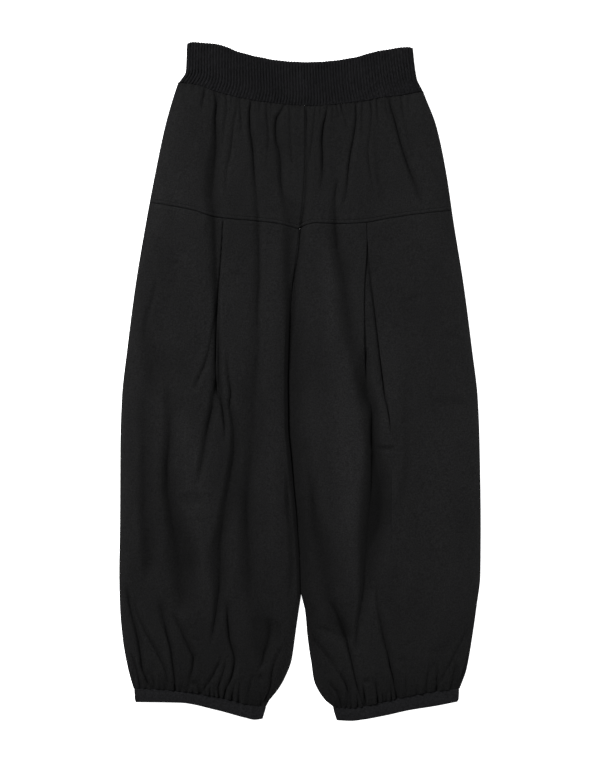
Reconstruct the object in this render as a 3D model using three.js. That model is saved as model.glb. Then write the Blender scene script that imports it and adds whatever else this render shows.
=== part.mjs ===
// Balloon pants of black cotton twill, laid flat on their back.
//
// Rib-knit waistband, hip yokes, pleated and gathered balloon legs and narrow hem bands. Every cut piece
// is its own thin wall. x runs to the viewer's right, y to the waist and z up off the surface, in
// millimetres, and the origin is in the middle of the underside. Left and right are the viewer's.

import * as THREE from "three";

// Driving sizes
const CLOTH = 1.2;
const SEAM_GAP = 0.3;
const CROTCH_Y = 82;
const FRONT_EDGE_Z = CLOTH + SEAM_GAP + CLOTH / 2;
const BACK_Z = CLOTH / 2;

// Rib knit of the waistband, folded double over its elastic
const KNIT = 2.4;
const KNIT_SLOT = 0.4;
const RIBS_ON_A_SIDE = 78;
const RIB_HEIGHT = 0.5;

// Hem bands, two layers of the cloth
const HEM_WALL = 1.8;
const HEM_SLOT = 0.4;
const HEM_POINTS_ON_A_SIDE = 33;

// A pleat turns back on itself in bends of short straights
const PLEAT_BEND = 0.75;
const PLEAT_LAP = 12;
const PLEAT_LEAST_LAP = 1;
const PLEAT_REACH = 40;

// Folds are no narrower than the columns can show, and the back's are low grooves over a flat underside
const FRONT_LEAST_WIDTH = 3;
const BACK_LEAST_WIDTH = 4;
const BACK_GROOVE_SHARE = 0.55;
const BACK_GROOVE_MOST = 1.6;
const BACK_ROOM_SHARE = 0.3;

// Columns are never closer than this, and stand closer together toward an inner edge
const LEAST_COLUMN = 2;
const CROWDED = 1.5;

// Outer sides of the yokes and legs
const sides = [
  { y: 400, left: -160, right: 158 },
  { y: 381, left: -166.5, right: 164.5 },
  { y: 339, left: -178.5, right: 180.5 },
  { y: 275, left: -192, right: 194 },
  { y: 211, left: -204, right: 203.5 },
  { y: 127, left: -218, right: 217 },
  { y: 42, left: -229, right: 228 },
  { y: -22, left: -236, right: 235.5 },
  { y: -85, left: -238, right: 238 },
  { y: -190, left: -238.5, right: 239.5 },
  { y: -255, left: -239.5, right: 239 },
  { y: -298, left: -238.5, right: 234 },
  { y: -340, left: -235, right: 228 },
  { y: -382, left: -227.5, right: 220.5 },
  { y: -407, left: -220.5, right: 211.5 },
];

// Centre seam down to the crotch, then the middle of the gap between the legs and half its width
const legGap = [
  { y: 365, middle: 6, half: 0.15 },
  { y: 303, middle: 6.5, half: 0.15 },
  { y: 266, middle: 5, half: 0.15 },
  { y: 228, middle: 2, half: 0.15 },
  { y: 200, middle: -1.5, half: 0.15 },
  { y: 159, middle: -6, half: 0.15 },
  { y: 115, middle: -10.5, half: 0.15 },
  { y: 82, middle: -13, half: 0.15 },
  { y: 50, middle: -14.5, half: 0.6 },
  { y: 0, middle: -16, half: 0.8 },
  { y: -60, middle: -15.5, half: 0.8 },
  { y: -98, middle: -12, half: 0.8 },
  { y: -148, middle: -7.5, half: 0.8 },
  { y: -198, middle: -3, half: 0.8 },
  { y: -242, middle: 0, half: 0.8 },
  { y: -280, middle: 1, half: 0.8 },
  { y: -303, middle: 2, half: 4.5 },
  { y: -342, middle: 1.2, half: 9.2 },
  { y: -369, middle: 1.2, half: 13.2 },
  { y: -396, middle: -2, half: 20.5 },
  { y: -409, middle: -3.2, half: 27.2 },
  { y: -422, middle: -4, half: 37 },
  { y: -431, middle: -1, half: 45 },
];

// Seams and edges that run across
const bandTop = [
  { x: -150, y: 448 },
  { x: -143, y: 450 },
  { x: -111, y: 447.5 },
  { x: -80, y: 437 },
  { x: -48, y: 429 },
  { x: -24, y: 425.5 },
  { x: 4, y: 423.5 },
  { x: 40, y: 425 },
  { x: 72, y: 430 },
  { x: 103, y: 438 },
  { x: 143, y: 443.5 },
  { x: 150, y: 442 },
];
const waistSeam = [
  { x: -160.5, y: 397 },
  { x: -135, y: 393 },
  { x: -113, y: 385 },
  { x: -77, y: 375.5 },
  { x: -42, y: 370 },
  { x: -6, y: 366.5 },
  { x: 17, y: 365.5 },
  { x: 52, y: 368 },
  { x: 88, y: 372.5 },
  { x: 112, y: 377 },
  { x: 131, y: 379 },
  { x: 162.5, y: 385.5 },
];
const yokeSeams = {
  left: [
    { x: -197, y: 237 },
    { x: -142, y: 226.5 },
    { x: -117, y: 219 },
    { x: -89, y: 214.5 },
    { x: -57, y: 212 },
    { x: -26, y: 208 },
    { x: -2, y: 202 },
  ],
  right: [
    { x: -2, y: 202 },
    { x: 8, y: 207 },
    { x: 20, y: 209.5 },
    { x: 55, y: 208.5 },
    { x: 86, y: 210 },
    { x: 117, y: 215.5 },
    { x: 146, y: 220 },
    { x: 199, y: 226.5 },
  ],
};
const hemSeams = {
  left: [
    { x: -221, y: -407 },
    { x: -186, y: -408 },
    { x: -150, y: -411.5 },
    { x: -100, y: -420 },
    { x: -61, y: -429.5 },
    { x: -45, y: -431 },
  ],
  right: [
    { x: 44, y: -433 },
    { x: 60, y: -433 },
    { x: 82, y: -431 },
    { x: 105, y: -425.5 },
    { x: 139, y: -418 },
    { x: 170, y: -412 },
    { x: 212, y: -407 },
  ],
};
const hemEdges = {
  left: [
    { x: -219, y: -425 },
    { x: -159, y: -426 },
    { x: -111, y: -435.5 },
    { x: -72, y: -446 },
    { x: -60, y: -448.5 },
    { x: -49, y: -447 },
  ],
  right: [
    { x: 48, y: -449 },
    { x: 68, y: -450 },
    { x: 82, y: -448.5 },
    { x: 115, y: -442.5 },
    { x: 144, y: -436 },
    { x: 181, y: -430 },
    { x: 211, y: -424 },
  ],
};

// Ends of the bands from their upper edge (share 0) to their lower edge (share 1), and how much
// thinner their rounded edges are on each face
const waistbandEnds = [
  { share: 0, left: -149.5, right: 149.5, inset: 0.9 },
  { share: 0.06, left: -150, right: 150, inset: 0 },
  { share: 0.7, left: -151.5, right: 155, inset: 0 },
  { share: 1, left: -160.5, right: 162.5, inset: 0 },
];
const hemBandEnds = {
  left: [
    { share: 0, left: -220, right: -45, inset: 0 },
    { share: 0.8, left: -219, right: -48.5, inset: 0 },
    { share: 1, left: -218, right: -49.5, inset: 0.4 },
  ],
  right: [
    { share: 0, left: 44, right: 211, inset: 0 },
    { share: 0.8, left: 47.5, right: 210.5, inset: 0 },
    { share: 1, left: 48.5, right: 209, inset: 0.4 },
  ],
};

// Height of the front's crown above the surface
const crowns = [
  { y: 400, z: 8 },
  { y: 330, z: 9 },
  { y: 220, z: 10 },
  { y: 100, z: 11.5 },
  { y: -100, z: 12.5 },
  { y: -280, z: 12 },
  { y: -430, z: 10 },
];

// Gathers under the waistband: where each leaves the seam, where it dies out, its bow sideways, depth
// and half width
const waistGathers = [
  { x: -144, y: 392, toX: -144, toY: 373, bow: 0, depth: 1, width: 2 },
  { x: -130, y: 390, toX: -127, toY: 358, bow: 0, depth: 1.6, width: 2.2 },
  { x: -116, y: 385, toX: -120, toY: 220, bow: 5.5, depth: 3.4, width: 4.5 },
  { x: -104, y: 382, toX: -98, toY: 350, bow: 0, depth: 1.4, width: 2 },
  { x: -94, y: 379, toX: -100, toY: 240, bow: 4, depth: 1.8, width: 3 },
  { x: -82, y: 376, toX: -80, toY: 312, bow: 0, depth: 1.5, width: 2.5 },
  { x: -69, y: 374, toX: -59, toY: 198, bow: -1.5, depth: 3.2, width: 3.6 },
  { x: -56, y: 372, toX: -55, toY: 354, bow: 0, depth: 1.2, width: 2 },
  { x: -45, y: 370, toX: -42, toY: 283, bow: 0, depth: 2, width: 2.4 },
  { x: -35, y: 369, toX: -38, toY: 352, bow: 0, depth: 1, width: 1.8 },
  { x: -25, y: 368, toX: -25, toY: 251, bow: -6.5, depth: 3, width: 3.4 },
  { x: -14, y: 367, toX: -12, toY: 283, bow: 0, depth: 1.8, width: 2.4 },
  { x: -3, y: 366, toX: -3, toY: 338, bow: 0, depth: 1.2, width: 2 },
  { x: 14, y: 366, toX: 12, toY: 307, bow: 0, depth: 1.6, width: 2.2 },
  { x: 22, y: 366, toX: 19, toY: 332, bow: 0, depth: 1.2, width: 2 },
  { x: 37, y: 367, toX: 28, toY: 275, bow: -4, depth: 3, width: 3.4 },
  { x: 47, y: 368, toX: 42, toY: 350, bow: 0, depth: 1.2, width: 1.8 },
  { x: 56, y: 369, toX: 63, toY: 338, bow: 0, depth: 1.6, width: 1.8 },
  { x: 73, y: 371, toX: 55, toY: 224, bow: 3.5, depth: 3.2, width: 3.4 },
  { x: 83, y: 372, toX: 84, toY: 338, bow: 0, depth: 1.4, width: 2 },
  { x: 93, y: 374, toX: 98, toY: 250, bow: -5.5, depth: 2.2, width: 2.5 },
  { x: 103, y: 376, toX: 104, toY: 346, bow: 0, depth: 1.4, width: 2 },
  { x: 118, y: 379, toX: 164, toY: 224, bow: -2.5, depth: 3.2, width: 3.8 },
  { x: 132, y: 381, toX: 146, toY: 319, bow: -2.5, depth: 1.8, width: 2.8 },
  { x: 142, y: 383, toX: 144, toY: 356, bow: 0, depth: 1.2, width: 2 },
  { x: 152, y: 385, toX: 156, toY: 366, bow: 0, depth: 1, width: 2 },
];

// Gathers above the hem bands, from the outside of the left leg to the outside of the right one
const hemGathers = {
  left: [
    { x: -210, y: -407, toX: -216, toY: -360, bow: 0, depth: 1.2, width: 2 },
    { x: -201, y: -407, toX: -225, toY: -284, bow: 4, depth: 2.5, width: 2.8 },
    { x: -189, y: -407, toX: -199, toY: -380, bow: 0, depth: 1.3, width: 2 },
    { x: -178, y: -408, toX: -220, toY: -292, bow: 6.5, depth: 2.6, width: 2.6 },
    { x: -169, y: -409, toX: -186, toY: -287, bow: 4, depth: 3, width: 2.8 },
    { x: -160, y: -410, toX: -164, toY: -382, bow: 0, depth: 1.2, width: 2 },
    { x: -150, y: -412, toX: -168, toY: -311, bow: 8, depth: 2.6, width: 2.8 },
    { x: -141, y: -413, toX: -138, toY: -390, bow: 0, depth: 1.2, width: 2 },
    { x: -131, y: -415, toX: -110, toY: -364, bow: 0, depth: 1.8, width: 2.4 },
    { x: -117, y: -417, toX: -104, toY: -369, bow: -1.5, depth: 1.8, width: 2.4 },
    { x: -103, y: -420, toX: -100, toY: -298, bow: 8, depth: 2.8, width: 2.8 },
    { x: -88, y: -423, toX: -80, toY: -388, bow: 0, depth: 1.4, width: 2 },
    { x: -75, y: -427, toX: -58, toY: -374, bow: -2.5, depth: 1.8, width: 2.4 },
    { x: -65, y: -430, toX: -60, toY: -401, bow: 0, depth: 1.2, width: 2 },
    { x: -56, y: -431, toX: -29, toY: -353, bow: 2.5, depth: 2.6, width: 2.6 },
    { x: -50, y: -431, toX: -32, toY: -388, bow: 2.5, depth: 1, width: 2 },
  ],
  right: [
    { x: 52, y: -433, toX: 43, toY: -406, bow: 0, depth: 1.2, width: 2 },
    { x: 61, y: -433, toX: 21, toY: -338, bow: 4, depth: 2.2, width: 2.6 },
    { x: 70, y: -432, toX: 59, toY: -394, bow: 1.5, depth: 1.4, width: 2 },
    { x: 79, y: -431, toX: 40, toY: -287, bow: 4, depth: 3.2, width: 2.8 },
    { x: 89, y: -429, toX: 82, toY: -394, bow: 0, depth: 1.8, width: 2.2 },
    { x: 101, y: -427, toX: 92, toY: -394, bow: -1.5, depth: 1.8, width: 2.2 },
    { x: 112, y: -424, toX: 108, toY: -401, bow: 0, depth: 1.2, width: 2 },
    { x: 122, y: -422, toX: 100, toY: -268, bow: 1.5, depth: 3.2, width: 2.4 },
    { x: 131, y: -420, toX: 127, toY: -394, bow: 0, depth: 1.1, width: 2 },
    { x: 140, y: -418, toX: 136, toY: -398, bow: 0, depth: 1, width: 2 },
    { x: 150, y: -416, toX: 152, toY: -389, bow: 0, depth: 1, width: 2 },
    { x: 162, y: -413, toX: 167, toY: -370, bow: 0, depth: 1.8, width: 2.2 },
    { x: 171, y: -412, toX: 176, toY: -388, bow: 0, depth: 1, width: 2 },
    { x: 180, y: -411, toX: 220, toY: -338, bow: -2.5, depth: 2.2, width: 2 },
    { x: 189, y: -410, toX: 199, toY: -378, bow: 0, depth: 1.4, width: 2 },
    { x: 197, y: -409, toX: 205, toY: -360, bow: 0, depth: 1.5, width: 2.2 },
    { x: 205, y: -408, toX: 221, toY: -342, bow: 1.5, depth: 1.4, width: 1.8 },
  ],
};

// Long troughs of the drape, and ridges where the depth is below zero
const drapes = [
  { x: -128, y: 357, toX: -126, toY: 198, bow: -1.5, depth: 3, width: 14 },
  { x: -126, y: 234, toX: -112, toY: 68, bow: 1.5, depth: 3, width: 8 },
  { x: -60, y: 234, toX: -60, toY: -24, bow: 2.5, depth: 3, width: 5 },
  { x: -61, y: 15, toX: -71, toY: -342, bow: 0, depth: 2.4, width: 10 },
  { x: -26, y: 267, toX: -4, toY: 209, bow: 2.5, depth: 2.6, width: 4 },
  { x: 6, y: 350, toX: -2, toY: 188, bow: 2, depth: 2.6, width: 5 },
  { x: 45, y: 275, toX: 48, toY: 175, bow: -1.5, depth: 3, width: 4.5 },
  { x: 46, y: 220, toX: 84, toY: -31, bow: -5.5, depth: 4.4, width: 6 },
  { x: 84, y: 28, toX: 93, toY: -236, bow: 5.5, depth: 6, width: 7 },
  { x: 90, y: -130, toX: 80, toY: -303, bow: 0, depth: 3, width: 9 },
  { x: -194, y: 148, toX: -214, toY: 12, bow: -2.5, depth: 2, width: 6 },
  { x: -172, y: 8, toX: -179, toY: -197, bow: -2.5, depth: 4.4, width: 8 },
  { x: -179, y: -157, toX: -151, toY: -247, bow: -2.5, depth: 3.6, width: 8 },
  { x: -116, y: 4, toX: -135, toY: -128, bow: -1.5, depth: 3, width: 5 },
  { x: -98, y: -18, toX: -90, toY: -118, bow: 2.5, depth: 3.6, width: 5 },
  { x: -90, y: -78, toX: -122, toY: -239, bow: 4, depth: 4.4, width: 6 },
  { x: -110, y: -210, toX: -122, toY: -358, bow: 2.5, depth: 2.6, width: 5 },
  { x: -204, y: -64, toX: -204, toY: -236, bow: -1.5, depth: 2.4, width: 7 },
  { x: -44, y: -276, toX: -50, toY: -372, bow: 0, depth: 2.2, width: 8 },
  { x: 140, y: -44, toX: 132, toY: -146, bow: -1.5, depth: 2, width: 4 },
  { x: 10, y: -197, toX: 48, toY: -350, bow: -2.5, depth: 3.6, width: 10 },
  { x: -26, y: 194, toX: -24, toY: -157, bow: -4, depth: 3, width: 8 },
  { x: -146, y: -24, toX: -132, toY: -232, bow: -2.5, depth: -3, width: 18 },
  { x: 33, y: 190, toX: 36, toY: 2, bow: -1.5, depth: -2.6, width: 10 },
  { x: 37, y: 28, toX: 69, toY: -316, bow: 5.5, depth: -3, width: 14 },
  { x: -40, y: 174, toX: -42, toY: -236, bow: 0, depth: -1.6, width: 10 },
];

// Pleats under the yoke: the path of the fold's edge, and the side that its top layer comes from
const pleats = {
  left: [{ x: -100, y: 213, toX: -108, toY: -40, bow: -5, topFrom: "right" }],
  right: [
    { x: 86.6, y: 210, toX: 87, toY: -30, bow: -3.5, topFrom: "left" },
    { x: 90.8, y: 211, toX: 116, toY: -44, bow: -2, topFrom: "right" },
  ],
};

// Columns of a leg between its edges and its pleats, and rows down each panel
const legColumns = { left: [11, 12], right: [7, 2, 8] };
const frontLegRows = [0, 0.05, 0.12, 0.2, 0.28, 0.36, 0.44, 0.53, 0.62, 0.71, 0.79, 0.86, 0.92, 0.965, 1];
const backLegRows = [0, 0.12, 0.3, 0.5, 0.7, 0.84, 0.92, 0.97, 1];
const frontYokeRows = [0, 0.1, 0.28, 0.52, 0.76, 1];
const backYokeRows = [0, 0.2, 0.55, 1];

const mix = (from, to, share) => from + (to - from) * share;
const clamp = (value, low, high) => Math.min(Math.max(value, low), high);
const rise = (distance, length) => 1 - Math.exp(-Math.max(distance, 0) / length);
function smoothstep(from, to, value) {
  const share = clamp((value - from) / (to - from), 0, 1);
  return share * share * (3 - 2 * share);
}

// Smooth value of one column of a table, with no overshoot between its rows
function readTable(rows, input, output, at) {
  const ordered = rows[0][input] < rows[rows.length - 1][input] ? rows : [...rows].reverse();
  const last = ordered.length - 1;
  if (at <= ordered[0][input]) return ordered[0][output];
  if (at >= ordered[last][input]) return ordered[last][output];
  let index = 0;
  while (ordered[index + 1][input] < at) index += 1;
  const secant = (k) =>
    (ordered[k + 1][output] - ordered[k][output]) / (ordered[k + 1][input] - ordered[k][input]);
  const slope = (k) => {
    if (k === 0) return secant(0);
    if (k === last) return secant(last - 1);
    const before = secant(k - 1);
    const after = secant(k);
    return before * after <= 0 ? 0 : (2 * before * after) / (before + after);
  };
  const span = ordered[index + 1][input] - ordered[index][input];
  const t = (at - ordered[index][input]) / span;
  const start = ordered[index][output];
  const end = ordered[index + 1][output];
  return (
    start * (1 + 2 * t) * (1 - t) ** 2 +
    slope(index) * span * t * (1 - t) ** 2 +
    end * t * t * (3 - 2 * t) +
    slope(index + 1) * span * t * t * (t - 1)
  );
}

const across = (rows, x) => readTable(rows, "x", "y", x);
const outerEdge = (side, y) => readTable(sides, "y", side, y);
function innerEdge(side, y) {
  const half = readTable(legGap, "y", "half", y);
  return readTable(legGap, "y", "middle", y) + (side === "left" ? -half : half);
}

// A fold's sideways place at a height, and how far along the fold that is
function foldAt(fold, y) {
  const along = (fold.y - y) / (fold.y - fold.toY);
  const t = clamp(along, 0, 1);
  return { along, x: mix(fold.x, fold.toX, t) + 4 * fold.bow * t * (1 - t) };
}

// Depth of a fold at a point: a soft trough that ends at two and a half half-widths
function foldDepth(fold, x, y, strength, leastWidth) {
  const { along, x: middle } = foldAt(fold, y);
  const width = Math.max(fold.width, leastWidth);
  const off = Math.abs(x - middle) / (2.5 * width);
  if (off >= 1) return 0;
  return fold.depth * strength(along) * (1 - off * off) ** 3;
}
const gatherStrength = (along) => (along >= 1 ? 0 : (1 - Math.max(along, 0)) ** 0.8);
const drapeStrength = (along) => smoothstep(0, 0.3, along) * (1 - smoothstep(0.65, 1, along));

// All the troughs at a point of one side of the pants
function troughs(x, y, leastWidth) {
  const hem = x < 0 ? hemGathers.left : hemGathers.right;
  let depth = 0;
  for (const fold of waistGathers) depth += foldDepth(fold, x, y, gatherStrength, leastWidth);
  for (const fold of hem) depth += foldDepth(fold, x, y, gatherStrength, leastWidth);
  for (const fold of drapes) depth += foldDepth(fold, x, y, drapeStrength, leastWidth);
  return depth;
}

// Middle of the front's wall: puffed between its edges, low where it is sewn to a band
function frontHeight(side, x, y) {
  const fromSide = rise(side === "left" ? x - outerEdge(side, y) : outerEdge(side, y) - x, 15);
  const fromInside = rise(side === "left" ? innerEdge(side, y) - x : x - innerEdge(side, y), 12);
  const joined = smoothstep(CROTCH_Y - 50, CROTCH_Y + 70, y);
  const fromWaist = mix(0.3, 1, rise(across(waistSeam, x) - y, 22));
  const fromHem = mix(0.25, 1, rise(y - across(hemSeams[side], x), 16));
  const crown = readTable(crowns, "y", "z", y) - FRONT_EDGE_Z;
  const puff = crown * fromSide * mix(fromInside, 1, joined) * fromWaist * fromHem;
  const sunk = puff - troughs(x, y, FRONT_LEAST_WIDTH) * smoothstep(0, 0.35, fromSide * fromHem * 1.4);
  const least = 0.6 * Math.min(puff, 1.5);
  return FRONT_EDGE_Z + (sunk > least ? sunk : least * Math.exp((sunk - least) / 4));
}

// The same fold on the other side of the pants
const mirrored = (fold) => ({ ...fold, x: -fold.x, toX: -fold.toX, bow: -fold.bow });

// Middle of the back's wall: flat on the surface, with the front's folds mirrored as low grooves
function backHeight(side, x, y) {
  const room = BACK_ROOM_SHARE * (frontHeight(side, x, y) - FRONT_EDGE_Z);
  const trough = BACK_GROOVE_SHARE * troughs(-x, y, BACK_LEAST_WIDTH);
  return BACK_Z + clamp(trough, 0, Math.min(room, BACK_GROOVE_MOST));
}

// Steps of a pleat from its top layer's edge: a bend under, the lap back and a bend forward again
function pleatSteps(pleat, y) {
  const { along, x } = foldAt(pleat, y);
  const lap = mix(PLEAT_LAP, PLEAT_LEAST_LAP, smoothstep(0, 0.55, along));
  const turn = Math.PI * (1 - smoothstep(0.5, 1, along));
  const bend = [0.25, 0.5, 0.75].map((share) => ({ length: PLEAT_BEND, angle: share * turn }));
  const steps = [...bend, { length: lap, angle: turn }, ...[...bend].reverse()];
  const points = [{ out: 0, down: 0 }];
  for (const step of steps) {
    const before = points[points.length - 1];
    points.push({
      out: before.out + step.length * Math.cos(step.angle),
      down: before.down + step.length * Math.sin(step.angle),
    });
  }
  const drop = points[points.length - 1].down;
  if (pleat.topFrom === "left") {
    return points.map(({ out, down }) => ({ x: x + out, lift: drop / 2 - down, edge: x }));
  }
  return points.map(({ out, down }) => ({ x: x - out, lift: drop / 2 - down, edge: x })).reverse();
}

// Raise of the top layer and sinking of the underlay beside a pleat, fading with the distance to it
function besidePleat(steps, x, onLeft) {
  const near = onLeft ? steps[0] : steps[steps.length - 1];
  const distance = Math.abs(x - near.edge) - PLEAT_LAP - 3;
  return near.lift * (1 - smoothstep(0, PLEAT_REACH, distance));
}

// Place where an edge or a fold, running down, meets a line that runs across
function meet(edgeAt, heightAt) {
  let x = edgeAt(heightAt(0));
  for (let round = 0; round < 24; round += 1) x = mix(x, edgeAt(heightAt(x)), 0.7);
  return x;
}

// Values between two others, without either: evenly spaced, or closer together near the first
const between = (from, to, count, crowding = 1) =>
  Array.from({ length: count }, (_, k) => mix(from, to, ((k + 1) / (count + 1)) ** crowding));

// Columns from one edge to the other, closer together near the inner edge
function spread(side, inner, outer, count) {
  const columns = [inner, ...between(inner, outer, count - 2, CROWDED), outer];
  return side === "left" ? columns.reverse() : columns;
}

// One column in each gather's trough and one on each crest, with both edges, never closer than a gap
function gatherColumns(gathers, y, first, last) {
  const middles = gathers.map((fold) => foldAt(fold, y).x);
  const columns = [first];
  middles.forEach((middle, k) => {
    if (k > 0) columns.push((middles[k - 1] + middle) / 2);
    columns.push(middle);
  });
  columns.push(last);
  for (let k = 1; k < columns.length - 1; k += 1) {
    columns[k] = Math.max(columns[k], columns[k - 1] + LEAST_COLUMN);
  }
  for (let k = columns.length - 2; k > 0; k -= 1) {
    columns[k] = Math.min(columns[k], columns[k + 1] - LEAST_COLUMN);
  }
  return columns;
}

// One row of a leg: its pleats' steps near the yoke, and columns on the gathers near the hem
function frontLegRow(side, share) {
  const heightAt = (x) =>
    mix(across(yokeSeams[side], x) - SEAM_GAP / 2, across(hemSeams[side], x) + SEAM_GAP / 2, share);
  const outer = meet((y) => outerEdge(side, y), heightAt);
  const inner = meet((y) => innerEdge(side, y), heightAt);
  const [first, last] = side === "left" ? [outer, inner] : [inner, outer];
  const folds = pleats[side].map((pleat) => {
    const x = meet((y) => foldAt(pleat, y).x, heightAt);
    return pleatSteps(pleat, heightAt(x));
  });
  const plain = (x) => ({ x, lift: 0, fold: -1 });
  const columns = [plain(first)];
  folds.forEach((steps, k) => {
    const start = columns[columns.length - 1].x;
    const crowding = side === "right" && k === 0 ? CROWDED : 1;
    columns.push(...between(start, steps[0].x, legColumns[side][k], crowding).map(plain));
    columns.push(...steps.map(({ x, lift }) => ({ x, lift, fold: k })));
  });
  const afterPleats = columns[columns.length - 1].x;
  const crowding = side === "left" ? CROWDED : 1;
  const rest = between(last, afterPleats, legColumns[side][folds.length], crowding).reverse();
  columns.push(...rest.map(plain), plain(last));

  const hemward = smoothstep(0.55, 0.82, share);
  const gathered = gatherColumns(hemGathers[side], heightAt((first + last) / 2), first, last);
  const points = columns.map((column, k) => {
    let lift = column.lift;
    folds.forEach((steps, f) => {
      if (f === column.fold) return;
      const onLeft = k < columns.findIndex((other) => other.fold === f);
      lift += besidePleat(steps, column.x, onLeft);
    });
    const x = mix(column.x, gathered[k], hemward);
    return { x, z: frontHeight(side, x, heightAt(x)) + lift * (1 - hemward) };
  });
  return { points, heightAt };
}

// One row of a back leg: even columns near the yoke, and columns on the gathers near the hem
function backLegRow(side, share) {
  const heightAt = (x) =>
    mix(across(yokeSeams[side], x) - SEAM_GAP / 2, across(hemSeams[side], x) + SEAM_GAP / 2, share);
  const outer = meet((y) => outerEdge(side, y), heightAt);
  const inner = meet((y) => innerEdge(side, y), heightAt);
  const [first, last] = side === "left" ? [outer, inner] : [inner, outer];
  const folds = hemGathers[side === "left" ? "right" : "left"].map(mirrored).reverse();
  const gathered = gatherColumns(folds, heightAt((first + last) / 2), first, last);
  const even = spread(side, inner, outer, gathered.length);
  const hemward = smoothstep(0.5, 0.84, share);
  const points = gathered.map((column, k) => {
    const x = mix(even[k], column, hemward);
    return { x, z: backHeight(side, x, heightAt(x)) };
  });
  return { points, heightAt };
}

// One row of a yoke: columns on the gathers near the waistband, even ones near the legs
function yokeRow(side, share, gathers, heightOf) {
  const heightAt = (x) =>
    mix(across(waistSeam, x) - SEAM_GAP / 2, across(yokeSeams[side], x) + SEAM_GAP / 2, share);
  const outer = meet((y) => outerEdge(side, y), heightAt);
  const inner = meet((y) => innerEdge(side, y), heightAt);
  const [first, last] = side === "left" ? [outer, inner] : [inner, outer];
  const seamX = legGap[0].middle;
  const folds = gathers
    .filter(({ x }) => (side === "left" ? x < seamX - LEAST_COLUMN : x > seamX + LEAST_COLUMN))
    .sort((one, other) => one.x - other.x);
  const gathered = gatherColumns(folds, heightAt((first + last) / 2), first, last);
  const even = spread(side, inner, outer, gathered.length);
  const legward = smoothstep(0.3, 1, share);
  const points = gathered.map((column, k) => {
    const x = mix(column, even[k], legward);
    return { x, z: heightOf(side, x, heightAt(x)) };
  });
  return { points, heightAt };
}

// Closed wall around rows of points in its middle, thickened across each row's own line
function wallAround(rows) {
  const faces = rows.map(({ points: row, heightAt }) =>
    row.map((point, k) => {
      const atEdge = k === 0 || k === row.length - 1;
      const into = new THREE.Vector2(1, 0);
      const onward = new THREE.Vector2(1, 0);
      if (!atEdge) {
        into.set(point.x - row[k - 1].x, point.z - row[k - 1].z).normalize();
        onward.set(row[k + 1].x - point.x, row[k + 1].z - point.z).normalize();
      }
      const along = into.clone().add(onward).normalize();
      const reach = CLOTH / 2 / Math.max(along.dot(onward), 0.8);
      const place = (toward) => {
        const x = point.x - toward * along.y * reach;
        return new THREE.Vector3(x, heightAt(x), point.z + toward * along.x * reach);
      };
      return { top: place(1), under: place(-1) };
    }),
  );
  const columns = faces[0].length;
  const points = [
    ...faces.flatMap((row) => row.map(({ top }) => top)),
    ...faces.flatMap((row) => row.map(({ under }) => under)),
  ];
  const under = rows.length * columns;
  const triangles = [];
  const quad = (a, b, c, d) => triangles.push(a, b, c, a, c, d);
  for (let r = 0; r < rows.length - 1; r += 1) {
    for (let k = 0; k < columns - 1; k += 1) {
      const corner = r * columns + k;
      quad(corner, corner + columns, corner + columns + 1, corner + 1);
      quad(under + corner, under + corner + 1, under + corner + columns + 1, under + corner + columns);
    }
    const left = r * columns;
    const right = left + columns - 1;
    quad(left, under + left, under + left + columns, left + columns);
    quad(right, right + columns, under + right + columns, under + right);
  }
  for (let k = 0; k < columns - 1; k += 1) {
    const last = (rows.length - 1) * columns + k;
    quad(k, k + 1, under + k + 1, under + k);
    quad(last, under + last, under + last + 1, last + 1);
  }
  return solid(points, triangles);
}

function solid(points, triangles) {
  const geometry = new THREE.BufferGeometry().setFromPoints(points);
  geometry.setIndex(triangles);
  geometry.computeVertexNormals();
  return geometry;
}

// One ring of a flattened band. Its outside has three points for each one of its plain inside.
const END_ANGLES = [Math.PI / 4, 0, -Math.PI / 4];
function bandRing(band, end) {
  const { wall, slot, pointsOnASide, ribHeight, upper, lower } = band;
  const middle = wall + slot / 2;
  const half = middle - end.inset;
  const place = (x, z) => new THREE.Vector3(x, mix(upper(x), lower(x), end.share), z);
  const flat = Array.from({ length: pointsOnASide }, (_, k) => ({
    x: mix(end.left + middle, end.right - middle, k / (pointsOnASide - 1)),
    dip: k % 2 === 0 ? 0 : ribHeight,
  }));
  const roundEnd = (x, toward) =>
    END_ANGLES.map((angle) => {
      const out = middle * Math.cos(angle);
      return place(x + toward * out, middle + toward * half * Math.sin(angle));
    });
  const outside = [
    ...flat.map(({ x, dip }) => place(x, middle + half - dip)),
    ...roundEnd(end.right - middle, 1),
    ...[...flat].reverse().map(({ x, dip }) => place(x, middle - half + dip)),
    ...roundEnd(end.left + middle, -1),
  ];
  const inside = [];
  for (let k = 1; k < outside.length; k += 3) {
    const x = clamp(outside[k].x, end.left + wall, end.right - wall);
    const above = outside[k].z - middle;
    inside.push(place(x, middle + Math.sign(Math.abs(above) < 0.01 ? 0 : above) * (slot / 2)));
  }
  return { outside, inside };
}

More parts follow.
